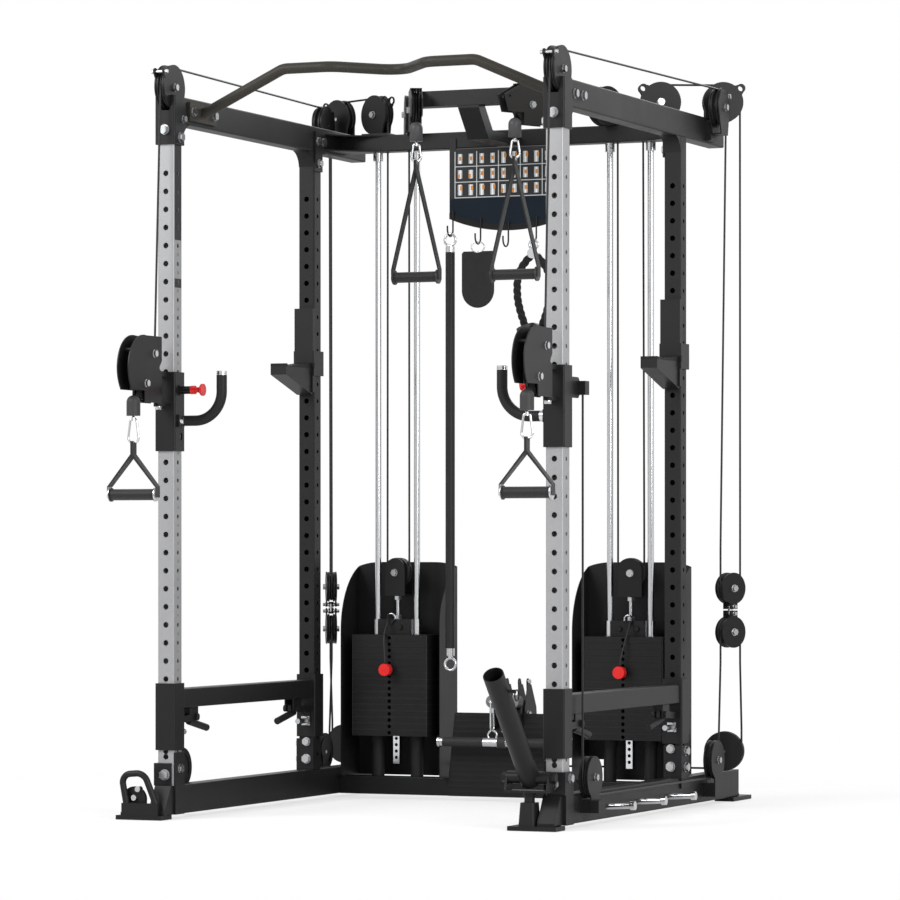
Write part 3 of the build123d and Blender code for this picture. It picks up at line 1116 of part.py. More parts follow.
row_bar_z = 176.0
row_bar_y = 1024.0
with BuildPart() as row_bar:
    for hand in (-1, 1):
        x = hand * row_wheel[0]
        rod((x, row_ball_y, row_top_z), (x, row_ball_y - 40, row_top_z), 19)
        rod((x, row_ball_y - 40, row_top_z), (x, row_ball_y - 50, row_top_z), 5)
        bent_rod([(x, row_bar_y - 14, 250), (x, row_bar_y - 14, row_top_z + 4), (x, row_bar_y + 4, row_top_z + 4),
                  (x, row_bar_y + 12, row_bar_z + 34), (x, row_bar_y - 14, row_bar_z + 34),
                  (x, row_bar_y - 14, 250)], [8, 8, 12, 12], 3.2)
        ring((x, row_bar_y, row_bar_z + 21), (0, 1, 0), 14, 3.5)
    rod((-206, row_bar_y, row_bar_z), (206, row_bar_y, row_bar_z), 14)
    for x in (-206, 199):
        rod((x, row_bar_y, row_bar_z), (x + 7, row_bar_y, row_bar_z), 16)
    rod((-14, row_bar_y, row_bar_z), (14, row_bar_y, row_bar_z), 17)

# Bar holders on the rear uprights
with BuildPart() as j_hooks:
    front = rear_y - inside
    block(upright_x - 30, upright_x + 30, front - 20, front, 1212, 1461)
    sheet_part(Plane(origin=(upright_x - 25, 0, 0), x_dir=(0, 1, 0), z_dir=(1, 0, 0)),
               [(front - 12, 1300), (front - 178, 1283), (front - 186, 1291), (front - 195, 1291), (front - 195, 1258),
                (front - 12, 1205)], 50)
    for side in (-1, 1):
        block(upright_x + side * 25.5 - 0.5, upright_x + side * 33, front - 19, front + 50, 1262, 1335)
    peg_row = hole_first_z + 27 * hole_pitch
    rod((upright_x, front - 10, peg_row), (upright_x, front + 49, peg_row), hole_r)
    both(j_hooks)

# Bolts of the fixed frame
with BuildPart() as frame_bolts:
    for plane, near_side in ((front_plane, 16), (beam_plane, 16), (inner_plane, 16), (low_turn_plane, 16)):
        axle(plane, reach=near_side)
    axle(front_plane, s=-61, t=39, across=10, shank=4)
    centre = Vector(*rear_wheel)
    rod(centre - Vector(16, 0, 0), centre + Vector(16, 0, 0), axle_r)
    hex_head(centre + Vector(16, 0, 0), (1, 0, 0))
    hex_head(centre + Vector(16, 30, 34), (1, 0, 0), 13, 5)
    centre = Vector(*outer_wheel)
    rod(centre - outer_plane.z_dir * 16, centre + outer_plane.z_dir * 16, axle_r)
    hex_head(centre - outer_plane.z_dir * 16, -outer_plane.z_dir)
    centre = Vector(*low_front)
    rod(centre - Vector(wheel_w / 2 + 3, 0, 0), centre + Vector(16, 0, 0), axle_r)
    hex_head(centre + Vector(16, 0, 0), (1, 0, 0))
    centre = Vector(*low_rear)
    rod(centre - Vector(wheel_w / 2 + 3, 0, 0), centre + Vector(16, 0, 0), axle_r)
    hex_head(centre + Vector(16, 0, 0), (1, 0, 0))
    centre = Vector(*low_outer)
    rod(centre - low_outer_plane.z_dir * 16, centre + low_outer_plane.z_dir * 16, axle_r)
    hex_head(centre - low_outer_plane.z_dir * 16, -low_outer_plane.z_dir)
    rod((row_wheel[0] - 15, cross_y, row_wheel[2]), (row_wheel[0] + 15, cross_y, row_wheel[2]), axle_r)
    hex_head((row_wheel[0] + 15, cross_y, row_wheel[2]), (1, 0, 0))
    hex_head((row_wheel[0] + 15, cross_y + 6, row_wheel[2] + 96), (1, 0, 0), 12, 5)
    hex_head((lat_wheel[0] + 17 * e_lat[1], lat_wheel[1] - 17 * e_lat[0], lat_wheel[2]), (e_lat[1], -e_lat[0], 0))
    rod((lat_wheel[0] - 17 * e_lat[1], lat_wheel[1] + 17 * e_lat[0], lat_wheel[2]),
        (lat_wheel[0] + 17 * e_lat[1], lat_wheel[1] - 17 * e_lat[0], lat_wheel[2]), axle_r)
    # brackets
    hex_head((upright_x, -sleeve / 2, 1908), (0, -1, 0), 22, 9)
    hex_head((upright_x - sleeve / 2, 0, 1888), (-1, 0, 0), 22, 9)
    hex_head((upright_x - sleeve / 2, 20, 1940), (-1, 0, 0), 17, 7)
    hex_head((rail_out, 60, 1966), (1, 0, 0), 20, 8)
    hex_head((rail_out, 120, 1966), (1, 0, 0), 20, 8)
    for y in (mount_y - 63, mount_y + 69):
        hex_head((rail_in - 6, y, mount_z), (-1, 0, 0), 20, 8)
    hex_head((rail_in - 5, rear_y - 8, 1960), (-1, 0, 0), 20, 8)
    hex_head((rail_in - 5, rear_y + 28, 1960), (-1, 0, 0), 20, 8)
    hex_head((rail_in - 5, rear_y, rail_top_z - 34), (-1, 0, 0), 20, 8)
    hex_head((upright_x, -inside - 6, 122), (0, -1, 0), 24, 10)
    hex_head((rail_out + 9, 0, 137), (1, 0, 0), 20, 8)
    hex_head((rail_in - 5, 0, 139), (-1, 0, 0), 20, 8)
    hex_head((rail_out + 5, rear_y, 122), (1, 0, 0), 22, 9)
    hex_head((rail_out + 5, rear_y, 168), (1, 0, 0), 22, 9)
    hex_head((upright_x - 3, rear_y - inside - 6, 124), (0, -1, 0), 22, 9)
    hex_head((upright_x - 3, rear_y - inside - 6, 175), (0, -1, 0), 20, 8)
    both(frame_bolts)

pieces = {
    "cross_beams": cross_beams, "base_rails": base_rails, "front_uprights": front_uprights,
    "rear_uprights": rear_uprights, "top_rails": top_rails, "top_front_brackets": top_front_brackets,
    "top_rear_brackets": top_rear_brackets, "base_brackets": base_brackets, "row_station": row_station,
    "lat_beam": lat_beam, "pull_up_bar": pull_up_bar, "placard": placard, "storage_hooks": storage_hooks,
    "guide_rods": guide_rods, "stack_bumpers": stack_bumpers, "stack_shrouds": stack_shrouds,
    "resting_plates": resting_plates, "band_pegs": band_pegs, "frame_bolts": frame_bolts,
    "rope_anchor": rope_anchor, "landmine_base": landmine_base, "turn_pulleys": turn_pulleys,
    "cables": cables, "lat_bar": lat_bar, "ankle_cuff": ankle_cuff, "triceps_rope": triceps_rope,
    "rope_fittings": rope_fittings, "row_bar": row_bar, "j_hooks": j_hooks,
    "top_front_pulleys": top_front_pulleys, "top_rear_pulleys": top_rear_pulleys,
    "low_front_pulleys": low_front_pulleys, "low_rear_pulleys": low_rear_pulleys, "row_pulleys": row_pulleys,
    "trolley_left": trolley_left, "trolley_right": trolley_right,
    "pop_pin_left": pop_pin_left, "pop_pin_right": pop_pin_right,
    "swivel_head_left": swivel_head_left, "swivel_head_right": swivel_head_right,
    "d_handle_left": d_handle_left, "d_handle_right": d_handle_right,
    "lat_handle_left": lat_handle_left, "lat_handle_right": lat_handle_right,
    "stack_carriage_left": stack_carriage_left, "stack_carriage_right": stack_carriage_right,
    "selector_pin_left": selector_pin_left, "selector_pin_right": selector_pin_right,
    "lanyard_left": lanyard_left, "lanyard_right": lanyard_right,
    "floating_block_left": floating_block_left, "floating_block_right": floating_block_right,
    "safety_bar_left": safety_bar_left, "safety_bar_right": safety_bar_right,
    "landmine_yoke": landmine_yoke, "landmine_tube": landmine_tube,
}
pieces.update(levers)

for name, piece in pieces.items():
    solid = piece.part.moved(Location((datum_x, datum_y, 0)))
    solid.label = name
    export_step(solid, "parts/" + name + ".step")
print("pieces", len(pieces))
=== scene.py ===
import math

import bpy
import numpy as np
from bpy.props import FloatProperty, FloatVectorProperty, IntProperty, PointerProperty
from mathutils import Matrix, Vector


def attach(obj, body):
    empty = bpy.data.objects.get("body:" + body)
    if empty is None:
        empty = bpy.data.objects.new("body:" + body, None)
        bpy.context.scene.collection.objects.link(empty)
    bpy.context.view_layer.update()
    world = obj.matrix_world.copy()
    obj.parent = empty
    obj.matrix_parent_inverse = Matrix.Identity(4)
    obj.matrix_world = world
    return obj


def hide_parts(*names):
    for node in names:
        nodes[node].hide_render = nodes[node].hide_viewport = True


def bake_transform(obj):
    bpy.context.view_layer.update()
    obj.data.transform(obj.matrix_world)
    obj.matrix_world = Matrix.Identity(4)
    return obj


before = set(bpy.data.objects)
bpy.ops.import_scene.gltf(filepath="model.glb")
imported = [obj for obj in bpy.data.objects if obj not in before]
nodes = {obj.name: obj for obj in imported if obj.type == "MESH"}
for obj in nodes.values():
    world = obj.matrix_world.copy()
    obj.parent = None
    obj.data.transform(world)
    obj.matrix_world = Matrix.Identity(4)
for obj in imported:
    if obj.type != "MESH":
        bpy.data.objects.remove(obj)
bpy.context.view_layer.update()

bl_info = {
    "name": "Functional trainer",
    "version": (1, 0, 0),
    "blender": (4, 5, 0),
    "location": "3D Viewport > Sidebar > Trainer",
    "description": "Dresses the frame, stations, cables and accessories of a functional trainer",
    "category": "Add Mesh",
}

HANDS = (("left", -1), ("right", 1))
DATUM_Y = -0.57974  # the front uprights' middle, front to back

# places in metres that several finishes share, x for the right side
POST_X = 0.578
POST_INNER = 0.5532
LAT_X = 0.15425
ARM_HALF = 0.46
ARM_MID = ARM_HALF + DATUM_Y
POP_PIN_Z = 1.187
STACK_X = 0.3725
STEM_Y = 1.101 + DATUM_Y
YOKE_Y = 1.107 + DATUM_Y
YOKE_NORMAL = (0.165, -0.986)
BLOCK_X = 0.643
BLOCK_Y = 1.212 + DATUM_Y
BLOCK_NORMAL = (0.883, 0.469)
BLOCK_LINK_Z = 0.568
CHART_HALF = 0.1745
CHART_COLUMN = 0.0698
CHART_LOW, CHART_TOP = 1.79, 1.928
CHART_ROW = 0.0462
PLATE_LOW = 0.189
PLATE_PITCH = 0.0189
ANCHOR_BOLTS = ((-0.636, 0.084), (-0.648, 0.060))

# places in millimetres of the row numbers and of what hangs on the storage hooks
HOLE_PITCH = 50
ROW_ZERO = 112
NUMBER_ROWS = 29
NUMBER_X = 552.85
HOOK_Y = 1046.5
CUFF_X, CUFF_RING = -89.0, 1641.3


def at(x, y, z):
    """A point given in millimetres from the floor between the front uprights, in the row frame."""
    return Vector((x / 1000, y / 1000 + DATUM_Y, z / 1000))


# ---------------------------------------------------------------- settings

def colour(name, text, value):
    """A colour that a user may change."""
    return FloatVectorProperty(name=name, description=text, subtype="COLOR", size=3, min=0, max=1,
                               default=value)


def thickness(name, text, value):
    """A size that a user may change."""
    return FloatProperty(name=name, description=text, unit="LENGTH", default=value)


class TrainerColours(bpy.types.PropertyGroup):
    """Colours of the coats, cloth and prints"""
    coat: colour("Frame coat", "Powder coat of the frame", (0.0075, 0.0077, 0.0079))
    silver: colour("Upright coat", "Silver coat of the front uprights", (0.285, 0.288, 0.292))
    bar: colour("Pull-up bar", "Textured coat of the pull-up bar", (0.021, 0.019, 0.0155))
    head: colour("Lat head", "Coat of the covered lat heads", (0.018, 0.0175, 0.0165))
    knob: colour("Pull knobs", "Moulded red of the pins", (0.55, 0.012, 0.012))
    board: colour("Board", "Ground of the exercise board", (0.006, 0.0105, 0.017))
    board_top: colour("Board top", "Upper field of the exercise board", (0.028, 0.028, 0.029))
    ink: colour("Board ink", "Pale print of the board", (0.72, 0.74, 0.76))
    cuff: colour("Ankle cuff", "Padded cloth of the cuff", (0.014, 0.014, 0.0135))
    plate: colour("Weight plates", "Painted iron of the plates", (0.0065, 0.0066, 0.0067))


class TrainerSizes(bpy.types.PropertyGroup):
    """Sizes of the cords and numbers, and the lens"""
    rope: thickness("Rope", "Thickness of the hand rope", 0.024)
    lanyard: thickness("Lanyard", "Thickness of the pin cords", 0.005)
    numbers: thickness("Numbers", "Height of the row numbers", 0.011)
    rope_turns: IntProperty(name="Rope turns", description="Turns of the strands per metre", default=17)
    lens: FloatProperty(name="Lens", description="Focal length of the camera in mm", default=164.93)


# ---------------------------------------------------------------- shader maths

class Value:
    """A number socket with arithmetic: each operator adds one Math node."""

    def __init__(self, finish, socket):
        self.finish = finish
        self.socket = socket

    def math(self, kind, *others, clamp=False):
        return self.finish.math(kind, self, *others, clamp=clamp)

    def __add__(self, other):
        return self.math("ADD", other)

    def __radd__(self, other):
        return self.math("ADD", other)

    def __sub__(self, other):
        return self.math("SUBTRACT", other)

    def __rsub__(self, other):
        return self.finish.math("SUBTRACT", other, self)

    def __mul__(self, other):
        return self.math("MULTIPLY", other)

    def __rmul__(self, other):
        return self.math("MULTIPLY", other)

    def __truediv__(self, other):
        return self.math("DIVIDE", other)

    def __abs__(self):
        return self.math("ABSOLUTE")

    def beyond(self, edge, soft=0.0004):
        """0 below an edge and 1 above it, with a narrow ramp."""
        return ((self - edge) / soft).math("ADD", 0.5, clamp=True)

    def within(self, low, high, soft=0.0004):
        """1 between two edges."""
        return self.beyond(low, soft) * (1 - self.beyond(high, soft))


class Finish:
    """One material and its Principled shader."""

    def __init__(self, name, base, rough, metal=0.0, coat=0.0, sheen=0.0, specular=0.17):
        self.material = bpy.data.materials.new(name)
        self.material.use_nodes = True
        self.tree = self.material.node_tree
        self.shader = self.tree.nodes["Principled BSDF"]
        self.material.diffuse_color = (*base, 1)
        for key, value in (("Base Color", (*base, 1)), ("Roughness", rough), ("Metallic", metal),
                           ("Coat Weight", coat), ("Sheen Weight", sheen), ("Specular IOR Level", specular)):
            self.shader.inputs[key].default_value = value
        self._place = None

    def node(self, kind, settings=(), inputs=()):
        """Any node: its settings first, then a value or a link for each socket."""
        made = self.tree.nodes.new(kind)
        for key, value in dict(settings).items():
            setattr(made, key, value)
        for key, value in dict(inputs).items():
            self.feed(made.inputs[key], value)
        return made

    def feed(self, socket, value):
        """Links a socket to a value, or sets it to a plain one."""
        if isinstance(value, Value):
            self.tree.links.new(value.socket, socket)
        elif isinstance(value, bpy.types.NodeSocket):
            self.tree.links.new(value, socket)
        else:
            socket.default_value = value

    def math(self, kind, *terms, clamp=False):
        made = self.node("ShaderNodeMath", {"operation": kind, "use_clamp": clamp}, dict(enumerate(terms)))
        return Value(self, made.outputs[0])

    def place(self):
        """Object coordinates."""
        if self._place is None:
            self._place = self.node("ShaderNodeTexCoord").outputs["Object"]
        return self._place

    def xyz(self, vector=None):
        """The three numbers of a vector, or of the point in the row frame."""
        made = self.node("ShaderNodeSeparateXYZ", (), {0: vector or self.place()})
        return tuple(Value(self, out) for out in made.outputs)

    def uv(self):
        """How far along a tube, and how far round it."""
        return self.xyz(self.node("ShaderNodeUVMap", {"uv_map": "along"}).outputs[0])

    def noise(self, scale, detail=3.0):
        """A cloudy pattern, about 0 to 1."""
        made = self.node("ShaderNodeTexNoise", (),
                         {"Vector": self.place(), "Scale": scale, "Detail": detail, "Roughness": 0.55})
        return Value(self, made.outputs[0])

    def cells(self, scale, feature="F1"):
        """The distance to the nearest of many scattered points."""
        made = self.node("ShaderNodeTexVoronoi", {"feature": feature},
                         {"Vector": self.place(), "Scale": scale})
        return Value(self, made.outputs["Distance"])

    def blend(self, share, first, second):
        """A colour between two."""
        first = (*first, 1) if isinstance(first, tuple) else first
        second = (*second, 1) if isinstance(second, tuple) else second
        made = self.node("ShaderNodeMix", {"data_type": "RGBA"}, {0: share, 6: first, 7: second})
        return made.outputs[2]

    def mix(self, share, first, second):
        """A number between two."""
        return first + share * (second - first)

    def colour(self, value):
        self.feed(self.shader.inputs["Base Color"], value)

    def rough(self, value):
        self.feed(self.shader.inputs["Roughness"], value)

    def metal(self, value):
        self.feed(self.shader.inputs["Metallic"], value)

    def bump(self, height, distance, strength=1.0):
        """Relief from a height pattern; distance is its depth in metres."""
        made = self.node("ShaderNodeBump", (), {"Height": height, "Distance": distance, "Strength": strength})
        self.feed(self.shader.inputs["Normal"], made.outputs[0])

    def zones(self, base, parts):
        """Lays finishes over a base. Each is (mask, colour, roughness, metallic)."""
        tint, rough, metal = base
        for mask, over_tint, over_rough, over_metal in parts:
            tint = self.blend(mask, tint, over_tint)
            rough = self.mix(mask, rough, over_rough)
            metal = self.mix(mask, metal, over_metal)
        self.colour(tint)
        self.rough(rough)
        self.metal(metal)

    def coated(self, tint, parts, rough=0.42, dust=1.35):
        """Powder coat, with other finishes laid on parts of the piece."""
        cloud = self.noise(10, 4)
        self.zones((self.blend(cloud * 0.7, tint, scaled(tint, dust)), rough, 0.0), parts)
        self.bump(self.noise(900, 2), PEEL, 0.6)
        return self


def scaled(tint, k):
    """A colour k times as bright."""
    return tuple(min(1.0, c * k) for c in tint)


CHROME = (0.56, 0.57, 0.58)
ZINC = (0.42, 0.43, 0.44)
RUBBER = (0.009, 0.009, 0.0092)
PEEL = 0.00006  # height of the coat's orange peel


def powder_coat(name, tint):
    """Powder coat: a fine orange peel, faint dust in it and rubbed patches."""
    m = Finish(name, tint, 0.42)
    peel = m.noise(900, 2)
    cloud = m.noise(9, 4)
    m.colour(m.blend(cloud * 0.8, tint, scaled(tint, 1.35)))
    m.rough(0.37 + cloud * 0.14)
    m.bump(peel, PEEL, 0.6)
    return m


def silver_coat(tint):
    """Metallic silver coat with fine flake, and dark strips of painted cable shadow on the inner faces."""
    m = Finish("silver_coat", tint, 0.34, 0.55)
    flake = m.cells(2600)
    cloud = m.noise(7, 3)
    x, y, z = m.xyz()
    inner = 1 - abs(x).beyond(POST_INNER)
    # Painted shadow: dark strips on the inner faces above the trolleys stand for the shadow that the cable
    # casts.
    painted_shadow = inner * (1 - abs(y - DATUM_Y).beyond(0.0205))
    painted_shadow = painted_shadow * (z.within(1.603, 1.87) + z.within(1.471, 1.496)).math("MINIMUM", 1)
    base = m.blend(cloud * 0.7, scaled(tint, 0.9), scaled(tint, 1.12))
    m.zones((base, 0.34 + flake * 0.04 + cloud * 0.06, 0.4), [(painted_shadow, (0.02, 0.02, 0.022), 0.4, 0.0)])
    m.bump(flake, 0.00001, 0.3)
    return m


def chrome(name="chrome", tint=CHROME, rough=0.13):
    """Plated steel: nearly even, with faint handling haze and a fine cellular grain."""
    m = Finish(name, tint, rough, 1.0)
    haze = m.noise(14, 4)
    m.rough(rough + 0.02 + haze * 0.03)
    m.colour(m.blend(haze, scaled(tint, 0.93), tint))
    m.bump(m.cells(2600), 0.000003, 0.3)
    return m


def moulded(name, tint, rough):
    """Moulded plastic or rubber with a fine spark-eroded grain."""
    m = Finish(name, tint, rough)
    grain = m.cells(1500)
    cloud = m.noise(18, 3)
    m.colour(m.blend(cloud * 0.7, tint, scaled(tint, 1.5)))
    m.rough(rough - 0.06 + cloud * 0.14)
    m.bump(grain, 0.00005, 0.5)
    return m


def wear(node, finish):
    """Gives a node one finish."""
    mesh = nodes[node].data
    mesh.materials.clear()
    mesh.materials.append(finish.material)


def settings():
    """The scene's colours and sizes."""
    scene = bpy.context.scene
    return scene.trainer_colours, scene.trainer_sizes


# ---------------------------------------------------------------- surfaces

def surface(name, points, faces, finish, body=None, uv=None):
    """A smooth mesh piece from an array of points and a list of faces, riding on a body if one is named."""
    mesh = bpy.data.meshes.new(name)
    mesh.from_pydata(points.tolist(), [], faces)
    if uv is not None:
        layer = mesh.uv_layers.new(name="along")
        loops = np.zeros(len(mesh.loops), np.int32)
        mesh.loops.foreach_get("vertex_index", loops)
        layer.data.foreach_set("uv", uv[loops].astype(np.float32).ravel())
    mesh.polygons.foreach_set("use_smooth", np.ones(len(mesh.polygons), bool))
    mesh.materials.append(finish.material)
    piece = bpy.data.objects.new(name, mesh)
    bpy.context.scene.collection.objects.link(piece)
    if body:
        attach(piece, body)
    return piece


def frames_along(path):
    """Two cross directions at each point of a path."""
    tangent = np.gradient(path, axis=0)
    tangent /= np.linalg.norm(tangent, axis=1)[:, None]
    side = np.cross(tangent, np.array([0.0, 1.0, 0.0]))
    weak = np.linalg.norm(side, axis=1) < 0.2
    side[weak] = np.cross(tangent[weak], np.array([0.0, 0.0, 1.0]))
    side /= np.linalg.norm(side, axis=1)[:, None]
    return side, np.cross(side, tangent)


def distance_along(path):
    """How far along a path each of its points lies."""
    return np.concatenate([[0], np.cumsum(np.linalg.norm(np.diff(path, axis=0), axis=1))])


def tube(path, radius, sides=12):
    """Points, faces and UVs of a tube: a circle at each point of the path, closed by a tip at each end."""
    across, up = frames_along(path)
    turn = np.linspace(0, 2 * math.pi, sides, endpoint=False)
    ring = across[:, None] * np.cos(turn)[None, :, None] + up[:, None] * np.sin(turn)[None, :, None]
    points = (path[:, None] + ring * radius).reshape(-1, 3)
    row, spot = np.meshgrid(np.arange(len(path) - 1), np.arange(sides), indexing="ij")
    after = (spot + 1) % sides
    faces = np.stack([row * sides + spot, row * sides + after, (row + 1) * sides + after,
                      (row + 1) * sides + spot], -1).reshape(-1, 4).tolist()
    length = distance_along(path)
    uv = np.stack([np.repeat(length, sides), np.tile(turn / (2 * math.pi), len(path))], -1)
    tip = len(points)
    points = np.vstack([points, path[0], path[-1]])
    uv = np.vstack([uv, [0, 0], [length[-1], 0]])
    first = np.arange(sides)
    last = first + (len(path) - 1) * sides
    faces += np.stack([first, np.full(sides, tip), np.roll(first, -1)], -1).tolist()
    faces += np.stack([last, np.roll(last, -1), np.full(sides, tip + 1)], -1).tolist()
    return points, faces, uv


def tube_piece(name, path, radius, finish, body=None):
    """A piece that is a tube along a path."""
    points, faces, uv = tube(path, radius)
    return surface(name, points, faces, finish, body, uv)


def smooth_line(route):
    """The points of the NURBS line whose control points are a given route."""
    curve = bpy.data.curves.new("line", "CURVE")
    curve.dimensions = "3D"
    curve.resolution_u = 12
    line = curve.splines.new("NURBS")
    line.points.add(len(route) - 1)
    for point, spot in zip(line.points, route):
        point.co = (*spot, 1)
    line.order_u = 3
    line.use_endpoint_u = True
    holder = bpy.data.objects.new("line", curve)
    bpy.context.scene.collection.objects.link(holder)
    bpy.context.view_layer.update()
    mesh = bpy.data.meshes.new_from_object(holder)
    path = np.zeros(len(mesh.vertices) * 3)
    mesh.vertices.foreach_get("co", path)
    bpy.data.objects.remove(holder)
    bpy.data.curves.remove(curve)
    bpy.data.meshes.remove(mesh)
    return path.reshape(-1, 3)


def even(path, step):
    """The path's points moved to an even spacing, by their distance along it."""
    length = distance_along(path)
    count = max(3, int(round(length[-1] / step)) + 1)
    spots = np.linspace(0, length[-1], count)
    return np.stack([np.interp(spots, length, path[:, k]) for k in range(3)], -1)


def mesh_part(name, node, keep, finish):
    """A copy of the faces of a CAD node whose corners pass a test on their coordinates."""
    source = nodes[node].data
    count = len(source.vertices)
    co = np.zeros(count * 3)
    source.vertices.foreach_get("co", co)
    co = co.reshape(-1, 3)
    source.calc_loop_triangles()
    triangles = np.zeros(len(source.loop_triangles) * 3, np.int32)
    source.loop_triangles.foreach_get("vertices", triangles)
    triangles = triangles.reshape(-1, 3)
    chosen = triangles[keep(co[triangles])]
    rounded = np.round(co, 6)
    used, back = np.unique(chosen.ravel(), return_inverse=True)
    spots, same = np.unique(rounded[used], axis=0, return_inverse=True)
    faces = same.ravel()[back.ravel()].reshape(-1, 3)
    solid = (faces[:, 0] != faces[:, 1]) & (faces[:, 1] != faces[:, 2]) & (faces[:, 2] != faces[:, 0])
    return surface(name, spots, faces[solid].tolist(), finish)


# ---------------------------------------------------------------- operators

class TRAINER_OT_frame(bpy.types.Operator):
    """Coats the beams, rails, uprights and brackets"""
    bl_idname = "trainer.frame"
    bl_label = "Frame"

    def execute(self, context):
        colours, _ = settings()
        coat = powder_coat("frame_coat", tuple(colours.coat))
        for node in ("cross_beams", "base_rails", "rear_uprights", "top_rails", "top_front_brackets",
                     "top_rear_brackets", "base_brackets", "landmine_base", "landmine_yoke", "landmine_tube",
                     "stack_shrouds"):
            wear(node, coat)
        wear("front_uprights", silver_coat(tuple(colours.silver)))
        wear("row_station", self.tread(tuple(colours.coat)))
        wear("pull_up_bar", self.textured_bar(tuple(colours.bar)))
        wear("lat_beam", self.lat_coat(colours))
        return {"FINISHED"}

    def tread(self, tint):
        """The footplate's coat, with raised tread bars across its front face."""
        m = Finish("tread_coat", tint, 0.5)
        _, y, z = m.xyz()
        face = 1 - y.beyond((1076 - 3.9) / 1000 + DATUM_Y)
        bars = (z * 62.0).math("FRACT").within(0.3, 0.7, 0.1) * face
        cloud = m.noise(11, 4)
        m.colour(m.blend(cloud * 0.7, tint, scaled(tint, 1.5)))
        m.rough(0.42 + bars * 0.2 + cloud * 0.1)
        m.bump(bars + m.noise(700) * 0.15, 0.0005, 0.7)
        return m

    def textured_bar(self, tint):
        """Wrinkle coat for grip."""
        m = Finish("bar_coat", tint, 0.5)
        wrinkle = m.cells(900, "SMOOTH_F1")
        cloud = m.noise(12, 4)
        m.colour(m.blend(cloud, tint, scaled(tint, 1.6)))
        m.rough(0.42 + cloud * 0.15)
        m.bump(wrinkle, 0.0002, 0.7)
        return m

    def lat_coat(self, colours):
        """The arm in frame coat and the covered heads in warm grey."""
        coat, head = tuple(colours.coat), tuple(colours.head)
        m = Finish("lat_coat", coat, 0.42)
        heads = abs(m.xyz()[0]).beyond(0.118)
        cloud = m.noise(10, 4)
        m.zones((m.blend(cloud * 0.7, coat, scaled(coat, 1.3)), 0.4, 0.0),
                [(heads, m.blend(cloud, head, scaled(head, 1.15)), 0.42, 0.1)])
        m.bump(m.noise(900, 2), PEEL, 0.6)
        return m


class TRAINER_OT_numbers(bpy.types.Operator):
    """Prints the row numbers between the side holes of the front uprights"""
    bl_idname = "trainer.numbers"
    bl_label = "Row numbers"

    def execute(self, context):
        _, sizes = settings()
        ink = Finish("number_ink", (0.03, 0.03, 0.032), 0.5)
        cloud = ink.noise(300, 3)
        ink.colour(ink.blend(cloud, (0.02, 0.02, 0.022), (0.06, 0.06, 0.062)))
        ink.rough(0.45 + cloud * 0.1)
        for hand, side in HANDS:
            upright = Matrix.Rotation(math.radians(90), 4, "X")
            turn = Matrix.Rotation(math.radians(-90 * side), 4, "Z") @ upright
            points = []
            faces = []
            for row in range(1, NUMBER_ROWS + 1):
                mesh = self.digits(context, str(row), sizes.numbers)
                mesh.transform(Matrix.Translation(at(side * NUMBER_X, 0, ROW_ZERO + HOLE_PITCH * row)) @ turn)
                shift = len(points)
                points += [tuple(v.co) for v in mesh.vertices]
                faces += [[i + shift for i in face.vertices] for face in mesh.polygons]
                bpy.data.meshes.remove(mesh)
            whole = bpy.data.meshes.new("row_numbers_" + hand)
            whole.from_pydata(points, [], faces)
            whole.materials.append(ink.material)
            piece = bpy.data.objects.new("row_numbers_" + hand, whole)
            context.scene.collection.objects.link(piece)
            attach(piece, "frame")
        return {"FINISHED"}

    def digits(self, context, words, height):
        """A flat mesh of a short text, centred."""
        text = bpy.data.curves.new("row_number", "FONT")
        text.body = words
        text.size = height
        text.align_x = "CENTER"
        text.align_y = "CENTER"
        text.resolution_u = 3
        holder = bpy.data.objects.new("row_number", text)
        context.scene.collection.objects.link(holder)
        context.view_layer.update()
        mesh = bpy.data.meshes.new_from_object(holder)
        bpy.data.objects.remove(holder)
        bpy.data.curves.remove(text)
        return mesh


